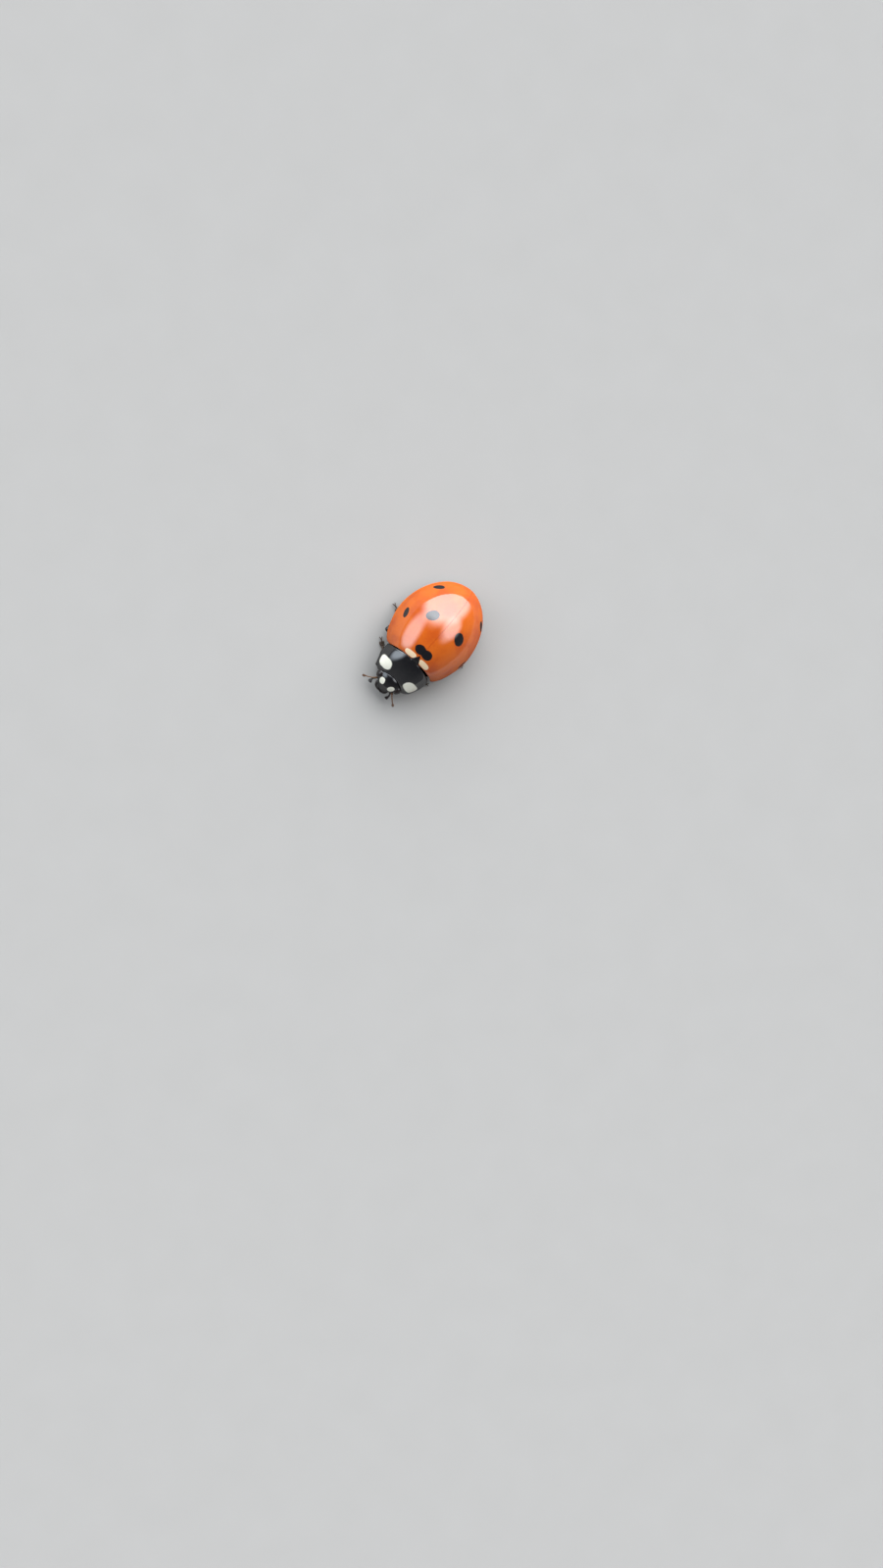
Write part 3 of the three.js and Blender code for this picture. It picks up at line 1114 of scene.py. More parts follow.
@dataclass(frozen=True)
class EyeFinish:
    """A black compound eye: fine facets under a clear gloss.

    Attributes:
        black: its colour in the middle of a facet.
        brown: its colour between facets.
        facets: per millimetre.
        depth: how far a facet stands out.
    """

    black: Colour = (0.005, 0.0045, 0.006)
    brown: Colour = (0.020, 0.012, 0.009)
    facets: float = 44.0
    depth: float = 0.0016

    def paint(self) -> bpy.types.Material:
        """Makes the material.

        Returns:
            The material.
        """
        painter = Painter("eye_facets")
        here = painter.place(True)
        sockets = {"Vector": here, "Scale": self.facets, "Randomness": 0.45}
        gone = painter.node("ShaderNodeTexVoronoi", {}, sockets, "Distance")
        ground = painter.mix(painter.step(gone, 0.25, 0.6), self.black, self.brown)
        return painter.surface({
            "Base Color": ground,
            "Roughness": 0.16 + painter.step(gone, 0.2, 0.7) * 0.2,
            "IOR": CUTICLE_IOR,
            "Specular IOR Level": 0.3,
            "Coat Weight": painter.gloss(0.6),
            "Coat Roughness": 0.12,
            "Normal": painter.relief(1.0 - gone, self.depth),
        })


@dataclass(frozen=True)
class HornFinish:
    """Brown horn that darkens towards one end.

    Attributes:
        name: the material's name.
        pale: its colour where it is palest.
        dark: its colour where it is darkest.
        way: the direction in which it darkens, over one millimetre.
        start: how far along that direction it starts to darken.
        turned: whether it turns with the head.
        roughness: of its surface.
        depth: how deep its grain is.
    """

    name: str
    pale: Colour
    dark: Colour
    way: Point
    start: float
    turned: bool = False
    roughness: float = 0.34
    depth: float = 0.006

    def paint(self) -> bpy.types.Material:
        """Makes the material.

        Returns:
            The material.
        """
        painter = Painter(self.name)
        here = painter.place(self.turned)
        grain = painter.noise(here, 14.0, 4.0)
        reach = abs(here).dot(self.way) + (grain - 0.5) * 0.12
        ground = painter.mix(painter.step(reach, self.start, self.start + 1.0), self.pale, self.dark)
        return painter.surface({
            "Base Color": ground,
            "Roughness": self.roughness + grain * 0.2,
            "IOR": CUTICLE_IOR,
            "Specular IOR Level": 0.35,
            "Coat Weight": painter.gloss(0.5),
            "Coat Roughness": 0.2,
            "Normal": painter.relief(grain, self.depth),
        })


@dataclass(frozen=True)
class HairFinish:
    """Fine greyish hair.

    Attributes:
        pale: its colour where it is palest.
        dark: its colour where it is darkest.
    """

    pale: Colour = (0.26, 0.22, 0.17)
    dark: Colour = (0.07, 0.055, 0.045)

    def paint(self) -> bpy.types.Material:
        """Makes the material.

        Returns:
            The material.
        """
        painter = Painter("fine_hair")
        shade = painter.noise(painter.place(), 8.0, 2.0)
        ground = painter.mix(painter.step(shade, 0.3, 0.7), self.pale, self.dark)
        return painter.surface({"Base Color": ground, "Roughness": 0.45 + shade * 0.1, "IOR": CUTICLE_IOR})


@dataclass(frozen=True)
class FloorFinish:
    """Plain pale matt card.

    Attributes:
        pale: its colour.
        grey: what it is faintly clouded with.
    """

    pale: Colour = (0.417, 0.40, 0.376)
    grey: Colour = (0.397, 0.38, 0.356)

    def paint(self) -> bpy.types.Material:
        """Makes the material.

        Returns:
            The material.
        """
        painter = Painter("pale_card")
        shade = painter.noise(painter.place(), 0.4, 4.0)
        ground = painter.mix(shade, self.pale, self.grey)
        return painter.surface({"Base Color": ground, "Roughness": 0.9, "Specular IOR Level": 0.0})


# ---- hairs


class Coat(Cast):
    """Short hairs on chosen surfaces, gathered into one piece, each on its own patch of the OFBake map.

    Attributes:
        POINTS: the points of a hair: three at its root, three at its bend and its tip.
        PARTS: the shares of its length below and above the bend.
        WAIST: its thickness at the bend, as a share of that at the root.
        STRAY: how unevenly hairs lie.
        PATCH: the size of a hair's patch on the map.
        BORDER: how much of each surface's square on the map is left free at each edge.
        FLOOR: the lowest that a point may lie.
    """

    POINTS: ClassVar[int] = 7
    PARTS: ClassVar[tuple[float, float]] = (0.55, 0.45)
    WAIST: ClassVar[float] = 0.66
    STRAY: ClassVar[float] = 0.14
    PATCH: ClassVar[float] = 0.003
    BORDER: ClassVar[float] = 0.02
    FLOOR: ClassVar[tuple[float, float, float]] = (-math.inf, -math.inf, 0.003)

    def __init__(self, seed: int, tiles: int) -> None:
        """Starts with no hairs.

        Args:
            seed: for the hairs' places.
            tiles: how many surfaces share the map, each unwrapped onto a square of its own.
        """
        super().__init__()
        self.draw = np.random.default_rng(seed)
        self.side = math.ceil(math.sqrt(tiles))
        self.tile = 0
        self.roots: list[Array] = []

    def grow(
        self,
        grid: Array,
        count: int,
        length: float,
        thickness: float,
        lean: float = 50.0,
        rows: tuple[float, float] = (0.1, 0.95),
        columns: tuple[float, float] = (0.0, 1.0),
        flip: bool = False,
    ) -> None:
        """Grows hairs on one surface.

        Args:
            grid: the surface's points; hairs lie towards its last row.
            count: how many hairs.
            length: of the longest.
            thickness: at the root.
            lean: degrees that they lean over.
            rows: the shares of the rows that they grow between.
            columns: the shares of the columns that they grow between.
            flip: whether the surface faces the other way.
        """
        up = self.draw.uniform(*rows, count) * (grid.shape[0] - 1.001)
        side = self.draw.uniform(*columns, count) * (grid.shape[1] - 1.001)
        i, j = up.astype(int), side.astype(int)
        s, t = (up - i)[:, None], (side - j)[:, None]
        root = grid[i, j] * (1 - s) * (1 - t) + grid[i + 1, j] * s * (1 - t)
        root = root + grid[i, j + 1] * (1 - s) * t + grid[i + 1, j + 1] * s * t
        lie = unit(grid[i + 1, j] - grid[i, j])
        normal = unit(np.cross(grid[i, j + 1] - grid[i, j], lie)) * (-1 if flip else 1)
        tilt = math.radians(lean)
        stray = self.draw.normal(0, self.STRAY, (count, 3))
        way = unit(normal * math.cos(tilt) + lie * math.sin(tilt) + stray)
        reach = length * self.draw.uniform(0.6, 1.0, (count, 1))
        middle = root + way * reach * self.PARTS[0]
        tip = middle + unit(way + lie * 0.5) * reach * self.PARTS[1]
        first = unit(np.cross(way, normal + 0.01))
        second = np.cross(way, first)
        turns = 2 * math.pi / 3 * np.arange(3)
        ring = first[:, None] * np.cos(turns)[:, None] + second[:, None] * np.sin(turns)[:, None]
        thick = thickness / 2
        points = np.concatenate([
            (root - normal * thick)[:, None] + ring * thick,
            middle[:, None] + ring * thick * self.WAIST,
            tip[:, None],
        ], axis=1)
        start = self.POINTS * np.arange(count)[:, None]
        walls = [(k, (k + 1) % 3, 3 + (k + 1) % 3, 3 + k) for k in range(3)]
        ends = [(3 + k, 3 + (k + 1) % 3, 6) for k in range(3)] + [(2, 1, 0)]
        base = self.count
        self.add(np.maximum(points, self.FLOOR), np.concatenate([start + wall for wall in walls]))
        for end in ends:
            self.faces.extend((base + start + end).tolist())
        place = np.stack([side / grid.shape[1], up / grid.shape[0]], 1) * (1 - 2 * self.BORDER) + self.BORDER
        corner = np.array([self.tile % self.side, self.tile // self.side])
        self.roots.append((place + corner) / self.side)
        self.tile += 1

    def dress(self, piece: bpy.types.Object) -> bpy.types.Object:
        """Gives the piece its OFBake map.

        Args:
            piece: the object made from this coat.

        Returns:
            The piece.
        """
        corners = np.zeros(len(piece.data.loops), int)
        piece.data.loops.foreach_get("vertex_index", corners)
        within = np.array([[k % 3 / 3, k // 3 / 3] for k in range(self.POINTS)]) * self.PATCH
        spots = np.concatenate(self.roots)[corners // self.POINTS] + within[corners % self.POINTS]
        piece.data.uv_layers.new(name="OFBake").data.foreach_set("uv", spots.astype(np.float32).ravel())
        return piece


# ---- wing cases


@dataclass
class WingCases:
    """The two wing cases and the small scutellum between their bases.

    Attributes:
        finish: of the wing cases.
        gap: between the two cases.
        wall: how thick they are.
        flange: the width of the rim that is turned under, where it is widest and at the tip.
        bead: how far the rim flares out.
        curl: the shares of the width over which the rim turns under.
        ledge: those over which it flares out.
        behind: the shares of the length over which both set in.
        scutellum: its half width, its front y and its tip y.
        columns: points from the suture to the rim.
        rows: points from the front edge to the tip.
    """

    finish: CaseFinish = field(default_factory=CaseFinish)
    gap: float = 0.008
    wall: float = 0.11
    flange: tuple[float, float] = (0.38, 0.16)
    bead: float = 0.04
    curl: tuple[float, float] = (0.93, 0.985)
    ledge: tuple[float, float] = (0.958, 0.99)
    behind: tuple[float, float] = (0.02, 0.16)
    scutellum: tuple[float, float, float] = (0.27, -0.08, 0.4)
    columns: int = 76
    rows: int = 130

    def flange_at(self, y: Array) -> Array:
        """The width of the turned-under rim at a place along the beetle."""
        return between(self.flange, smooth(y, 1.6, 5.1))

    def _seam(self, y: Array) -> Array:
        """How far the suture edge stands from the middle, with room for the scutellum."""
        half, _, tip = self.scutellum
        return self.gap / 2 + half * np.clip(1 - y / tip, 0, 1.2)

    def faces(self) -> tuple[Array, Array]:
        """Works out the left case.

        Returns:
            Its outer and inner faces.
        """
        across = (1 - (1 - np.linspace(0, 1, self.columns)) ** 1.5)[None, :]
        along = (np.linspace(0, 1 - 1e-4, self.rows) ** 1.4)[:, None]
        behind = smooth(along, *self.behind)
        flare = self.bead * (1 - smooth(across, *self.ledge) * behind)
        outer = DOME.points(across, along, self._seam, flare)
        base = DOME.points(across, along, self._seam, self.bead + 0 * across)
        turned = smooth(across, *self.curl) * behind
        depth = self.wall + (self.flange_at(base[..., 1]) - self.wall) * turned
        depth = depth - self.wall * 0.6 * smooth(across, 0.06, 0.0)
        return outer, base - outward(base) * depth[..., None]

    def _case(self, side: Side) -> Cast:
        """Shapes one wing case.

        Args:
            side: the side that it is on.

        Returns:
            The case.
        """
        outer, inner = (face * side.mirror for face in self.faces())
        return Cast().slab(
            outer, inner,
            Lip(Edge.FIRST_COLUMN, bulge=0.1),
            Lip(Edge.LAST_COLUMN, bulge=0.10, square=6.0, steps=6),
            Lip(Edge.FIRST_ROW, bulge=0.5),
            Lip(Edge.LAST_ROW, bulge=0.3),
        )

    def _scutellum(self) -> Cast:
        """Shapes the small black triangle.

        Returns:
            The scutellum.
        """
        half, front, tip = self.scutellum
        share = np.linspace(0, 1, 26)[:, None]
        y = front + (tip - 0.03 - front) * share
        width = (half - 0.035) * np.clip(1 - y / tip, 0.03, 1)
        across = np.linspace(-1, 1, 21)[None, :]
        x = across * width
        z = DOME.base_height_at(x, y) - 0.035 + 0.035 * (1 - across**2) * (1 - share)
        outer = np.stack([x, y + 0 * x, z], -1)
        inner = outer - np.array([0, 0, 0.12])
        return Cast().plate(outer, inner, 0.2)

    def build(self, black: bpy.types.Material) -> list[bpy.types.Object]:
        """Makes the pieces.

        Args:
            black: the scutellum's material.

        Returns:
            The pieces.
        """
        orange = self.finish.paint()
        made = []
        for side in Side:
            piece = self._case(side).object(f"wing_case_{side.word}", orange, Slot.WING_CASE)
            made.append(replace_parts(piece, f"elytron_{side.word}"))
        small = self._scutellum().object("scutellum_plate", black, Slot.BLACK_PLATE)
        return made + [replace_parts(small, "scutellum")]


# ---- shield


@dataclass
class Shield:
    """The pronotum: a black shield with a cream patch at each front corner.

    Attributes:
        wall: how thick it is.
        flange: how thick its turned-under side rims are.
        bead: how far its side rims flare out.
        curl: the shares of the way from the middle to a side over which the rim turns under.
        ledge: those over which it flares out.
        patch: the left pale marking.
        columns: points from one side to the other.
        rows: points from front to rear.
    """

    wall: float = 0.11
    flange: float = 0.26
    bead: float = 0.03
    curl: tuple[float, float] = (0.9, 0.98)
    ledge: tuple[float, float] = (0.95, 0.988)
    patch: Spot = Spot((1.03, 0.255), (0.465, 0.338), lean=0.0, square=2.6)
    columns: int = 121
    rows: int = 64

    def faces(self) -> tuple[Array, Array]:
        """Works out the shield.

        Returns:
            Its outer and inner faces.
        """
        even = np.linspace(-1, 1, self.columns)
        across = (np.sign(even) * (1 - (1 - np.abs(even)) ** 1.4))[None, :]
        back = np.linspace(0, 1, self.rows)[:, None]
        outer = SHIELD.points(across, back, self.bead * (1 - smooth(np.abs(across), *self.ledge)))
        base = SHIELD.points(across, back, self.bead + 0 * across)
        depth = self.wall + (self.flange - self.wall) * smooth(np.abs(across), *self.curl)
        return outer, base - outward(base) * (depth + 0 * back)[..., None]

    def _mark(self) -> tuple[Point, Point, Spot]:
        """Places the left pale patch on the shield.

        Returns:
            Its middle, the way out of the shield there, and its form.
        """
        x, back = self.patch.place
        share = x / float(SHIELD.half_width_at(np.array(back)))
        steps = np.array([[-0.01, 0.0, 0.01]])
        across = 2 / math.pi * math.asin(share) + steps
        near = SHIELD.points(across, back + steps.T, 0.0 * across)
        return tuple(near[1, 1]), tuple(outward(near)[1, 1]), self.patch

    def build(self) -> list[bpy.types.Object]:
        """Makes the pieces.

        Returns:
            The pieces.
        """
        finish = BlackFinish("shield_black", marks=(self._mark(),), turned=True, coat=1.0, depth=0.002)
        outer, inner = self.faces()
        cast = Cast().slab(
            outer, inner,
            Lip(Edge.FIRST_COLUMN, bulge=0.2, square=4.0),
            Lip(Edge.LAST_COLUMN, bulge=0.2, square=4.0),
            Lip(Edge.FIRST_ROW, bulge=0.8),
            Lip(Edge.LAST_ROW, bulge=0.8),
        )
        return [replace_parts(cast.object("shield_plate", finish.paint(), Slot.SHIELD, True), "pronotum")]


# ---- head


@dataclass
class Head:
    """The head: a black capsule, two compound eyes and the mouthparts.

    Attributes:
        centre: of the capsule.
        half: half its size each way.
        narrowing: how much it narrows to the front.
        drop: how far the face is bent down.
        back: y of its flat rear, inside the shield.
        eye_centre: of the left eye.
        eye_half: half the eye's size each way.
        socket: the size of the eye-shaped swelling that carries each eye, as a share of the eye's.
        fillet: how softly that swelling runs into the head.
        feeler_pit: the middle of the hollow that the left feeler is set in.
        notch: where the left eye is notched for it.
        clypeus: how far round, down and up the shelf over the mouth reaches, in degrees.
        lip: the upper lip's half width, its length and y of its rear edge.
        jaw: the middle line of the left jaw.
        fork: that of its upper tooth.
        palp: the left palp's bends.
        palp_joints: the radii of its joints at root and end.
        blade: the middle line of its broad last joint.
        chin: that of the plate under the mouth.
        chin_palp: the bends of the small left palp on it.
        dots: the left pale dot between the eyes.
    """

    centre: Point = (0.0, -1.52, 1.34)
    half: Point = (0.80, 0.785, 0.55)
    narrowing: float = 0.3
    drop: float = 0.28
    back: float = -0.98
    eye_centre: Point = (0.640, -1.66, 1.37)
    eye_half: Point = (0.265, 0.31, 0.325)
    socket: float = 0.93
    fillet: float = 0.09
    feeler_pit: Point = (0.60, -2.0, 1.12)
    notch: Point = (0.56, -1.90, 1.24)
    clypeus: tuple[float, float, float] = (38.0, -22.0, 8.0)
    lip: tuple[float, float, float] = (0.295, 0.215, -2.195)
    jaw: tuple[Point, ...] = (
        (0.37, -1.98, 0.84), (0.35, -2.16, 0.80), (0.27, -2.30, 0.76), (0.12, -2.38, 0.74),
    )
    fork: tuple[Point, ...] = ((0.24, -2.31, 0.77), (0.19, -2.35, 0.81), (0.13, -2.36, 0.83))
    palp: tuple[Point, ...] = (
        (0.44, -1.86, 0.74), (0.56, -1.98, 0.70), (0.66, -2.11, 0.64), (0.69, -2.21, 0.59),
    )
    palp_joints: tuple[tuple[float, float], ...] = ((0.05, 0.062), (0.045, 0.07), (0.045, 0.066))
    blade: tuple[Point, ...] = ((0.69, -2.20, 0.60), (0.68, -2.30, 0.56), (0.65, -2.43, 0.51))
    chin: tuple[Point, ...] = ((0, -1.72, 0.80), (0, -1.98, 0.76), (0, -2.2, 0.77))
    chin_palp: tuple[Point, ...] = ((0.07, -2.16, 0.74), (0.12, -2.25, 0.70), (0.13, -2.33, 0.67))
    dots: Spot = Spot((0.350, -1.945), (0.178, 0.218), square=2.2)

    def _swollen(self, point: Array, eye: Array) -> Array:
        """The skin, drawn out round an eye so that the eye is set in it.

        Args:
            point: points of the skin.
            eye: the eye's centre.

        Returns:
            The points, drawn out from the head's centre.
        """
        centre, half = np.array(self.centre), np.array(self.eye_half) * self.socket
        way, start = (point - centre) / half, (centre - eye) / half
        long = (way**2).sum(-1)
        ahead = -(way * start).sum(-1) / long
        spare = ahead**2 - ((start**2).sum() - 1) / long
        reach = ahead + np.sign(spare) * np.sqrt(np.abs(spare))
        drawn = (1 + reach + np.sqrt((1 - reach) ** 2 + self.fillet**2)) / 2
        return centre + (point - centre) * drawn[..., None]

    def surface(self, turn: Array, rise: Array) -> Array:
        """Points of the capsule.

        Args:
            turn: the direction seen from above, 0 ahead and positive to the left, in degrees.
            rise: the direction's height, in degrees.

        Returns:
            The points.
        """
        turn, rise = np.radians(turn), np.radians(rise)
        x, y, z = np.sin(turn) * np.cos(rise), -np.cos(turn) * np.cos(rise), np.sin(rise) + 0 * turn
        ahead = np.maximum(0, -y)
        point = np.stack([
            self.half[0] * x * (1 - self.narrowing * ahead**2),
            self.half[1] * y,
            self.half[2] * z - self.drop * ahead**1.5,
        ], -1) + np.array(self.centre)
        for side in Side:
            point = self._swollen(point, self.eye_centre * side.mirror)
            gone = np.linalg.norm(point - self.feeler_pit * side.mirror, axis=-1)
            sunk = 0.05 * smooth(gone, 0.17, 0.05)
            point = point + (np.array(self.centre) - point) * sunk[..., None]
        point[..., 1] = np.minimum(point[..., 1], self.back)
        return point

    def _capsule(self) -> Cast:
        """Shapes the capsule.

        Returns:
            The capsule.
        """
        turn = np.linspace(-180, 180, 144, endpoint=False)[None, :]
        rise = np.linspace(-90, 90, 90)[:, None]
        return Cast().sheet(self.surface(turn, rise), around=True)

    def _clypeus(self) -> Cast:
        """Shapes the shelf over the mouth, which grows out of the face.

        Returns:
            The shelf.
        """
        wide, low, high = self.clypeus
        turn = np.linspace(-wide, wide, 49)[None, :]
        rise = np.linspace(low, high, 26)[:, None]
        base = self.surface(turn * (1 - 0.004 * (rise - low)), rise)
        sides = 1 - np.abs(turn / wide) ** 6
        proud = -0.006 + 0.052 * smooth(rise, high, low + 2) * sides
        way = outward(base)
        return Cast().plate(base + way * proud[..., None], base - way * 0.05, 0.6)

    def _upper_lip(self) -> Cast:
        """Shapes the labrum: a short broad plate bent down in front, with round corners.

        Returns:
            The labrum.
        """
        half, length, rear = self.lip
        across, ahead = np.linspace(-1, 1, 41)[None, :], np.linspace(0, 1, 20)[:, None]
        reach = length * (1 - 0.34 * np.abs(across) ** 3.0) - 0.022 * np.exp(-((across / 0.3) ** 2))
        y = rear - reach * ahead
        z = 0.955 - 0.085 * ahead**1.8 - 0.075 * across**2
        outer = np.stack([half * across * (1 - 0.10 * ahead**2) + 0 * y, y, z], -1)
        inner = outer + np.array([0, 0.012, -0.07])
        return Cast().plate(outer, inner, 0.9)

    def _jaw(self, side: Side) -> Cast:
        """Shapes a mandible: a curved horn with a forked tip.

        Args:
            side: the side that it is on.

        Returns:
            The mandible.
        """
        horn = Limb(self.jaw * side.mirror, (0.10, 0.11, 0.08, 0.02), flat=0.8)
        return Cast().rod(horn).rod(Limb(self.fork * side.mirror, (0.045, 0.03, 0.01)))

    def _palp(self, side: Side) -> Cast:
        """Shapes a palp: three small joints and a broad hatchet-shaped one.

        Args:
            side: the side that it is on.

        Returns:
            The palp.
        """
        cast = Cast()
        bends = self.palp * side.mirror
        for root, end, radii in zip(bends, bends[1:], self.palp_joints):
            cast.rod(Limb((root, end), radii, rows=14))
        blade, up = self.blade * side.mirror, (0.5, 0.0, 1.0) * side.mirror
        return cast.rod(Limb(blade, (0.045, 0.10, 0.135), flat=0.40, up=up, blunt=0.35, sides=24))

    def _eye(self, side: Side) -> Cast:
        """Shapes a compound eye, notched in front where the feeler is set.

        Args:
            side: the side that it is on.

        Returns:
            The eye.
        """
        point = ball(self.eye_centre, self.eye_half, around=64, down=44)
        gone = np.linalg.norm(point - np.array(self.notch), axis=-1)
        point = point + (np.array(self.eye_centre) - point) * (0.3 * smooth(gone, 0.24, 0.02))[..., None]
        return Cast().sheet(point * side.mirror, around=True)

    def _under_lip(self) -> Cast:
        """Shapes the plate and small palps under the mouth.

        Returns:
            The under lip.
        """
        cast = Cast().rod(Limb(self.chin, (0.20, 0.19, 0.12), flat=0.32))
        for side in Side:
            bends = self.chin_palp * side.mirror
            for root, end in zip(bends, bends[1:]):
                cast.rod(Limb((root, end), (0.025, 0.032), rows=12))
        return cast

    def build(self) -> list[bpy.types.Object]:
        """Makes the pieces.

        Returns:
            The pieces.
        """
        black = BlackFinish("head_black", marks=(self._dot(),), turned=True, pits=19.0, coat=0.7).paint()
        pale, dark = (0.026, 0.014, 0.009), (0.010, 0.007, 0.006)
        horn = HornFinish("mouth_horn", pale, dark, (0, 1, 0), 1.7, True).paint()
        made = [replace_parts(self._capsule().object("head_capsule", black, Slot.BLACK_PLATE, True), "head")]
        made.append(self._clypeus().object("clypeus_plate", black, Slot.BLACK_PLATE, True))
        made.append(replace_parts(self._upper_lip().object("upper_lip", horn, Slot.MOUTHPART, True), "labrum"))
        made.append(self._under_lip().object("under_lip", horn, Slot.MOUTHPART, True))
        lens = EyeFinish().paint()
        for side in Side:
            jaw = self._jaw(side).object(f"jaw_{side.word}", horn, Slot.MOUTHPART, True)
            palp = self._palp(side).object(f"palp_joints_{side.word}", horn, Slot.MOUTHPART, True)
            eye = self._eye(side).object(f"compound_eye_{side.word}", lens, Slot.EYE, True)
            made.append(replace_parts(jaw, f"mandible_{side.word}"))
            made.append(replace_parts(palp, f"palp_{side.word}"))
            made.append(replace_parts(eye, f"eye_{side.word}"))
        return made

    def _dot(self) -> tuple[Point, Point, Spot]:
        """Places the left pale dot on the face.

        Returns:
            Its middle, the way out of the face there, and its form.
        """
        grid = self.surface(np.linspace(0, 60, 61)[None, :], np.linspace(0, 60, 61)[:, None])
        gone = np.linalg.norm(grid[..., :2] - np.array(self.dots.place), axis=-1)
        nearest = np.unravel_index(gone.argmin(), gone.shape)
        return tuple(grid[nearest]), tuple(outward(grid)[nearest]), self.dots


@dataclass
class Feelers:
    """The two feelers: eleven joints each, the last three a club.

    Attributes:
        line: the left one's middle line.
        joints: each joint's length, as a share of the whole, and its radii at root and end.
        club: how many joints the club has.
    """

    line: tuple[Point, ...] = (
        (0.58, -1.96, 1.13), (0.76, -2.14, 1.13), (0.95, -2.28, 1.05),
        (1.12, -2.38, 0.93), (1.25, -2.46, 0.79),
    )
    joints: tuple[tuple[float, float, float], ...] = (
        (0.17, 0.050, 0.062), (0.09, 0.038, 0.046), (0.10, 0.028, 0.035), (0.075, 0.028, 0.034),
        (0.075, 0.028, 0.034), (0.07, 0.028, 0.034), (0.065, 0.028, 0.035), (0.06, 0.029, 0.040),
        (0.09, 0.036, 0.070), (0.095, 0.058, 0.084), (0.11, 0.066, 0.050),
    )
    club: int = 3

    def grids(self, side: Side) -> list[Array]:
        """Works out the joints of one feeler.

        Args:
            side: the side that it is on.

        Returns:
            Rings of points for each joint.
        """
        start, made = 0.0, []
        for share, root, end in self.joints:
            line = through(self.line, np.array([start, start + share / 2, start + share * 1.04]))
            radii = (root, (root + end) / 1.8, end)
            made.append(Limb(line * side.mirror, radii, flat=0.85, rows=16).grid())
            start += share
        return made

    def build(self, coat: Coat) -> list[bpy.types.Object]:
        """Makes the pieces, and grows their down.

        Args:
            coat: the feelers' hairs.

        Returns:
            The pieces.
        """
        pale, dark = (0.17, 0.075, 0.026), (0.045, 0.022, 0.012)
        brown = HornFinish("feeler_horn", pale, dark, (0.7, 0.45, 0.0), 1.45, True).paint()
        made = []
        for side in Side:
            cast = Cast()
            for k, grid in enumerate(self.grids(side)):
                cast.sheet(grid, around=True)
                count = 60 if k >= len(self.joints) - self.club else 18
                coat.grow(grid, count, 0.034, 0.0035, lean=60, flip=side is Side.LEFT)
            piece = cast.object(f"feeler_{side.word}", brown, Slot.FEELER, True)
            made.append(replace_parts(piece, f"antenna_{side.word}"))
        return made


# ---- legs


@dataclass(frozen=True)
class Stance:
    """How one pair of legs is folded.

    Attributes:
        hip: x and y of the left hip.
        lengths: of the thigh, shin and foot in plan.
        left: the left leg's turns in degrees from straight outwards, positive towards the rear.
        right: the right leg's.
        spurs: whether the shin ends in two spurs.
    """

    hip: tuple[float, float]
    lengths: tuple[float, float, float]
    left: tuple[float, float, float]
    right: tuple[float, float, float]
    spurs: bool = True


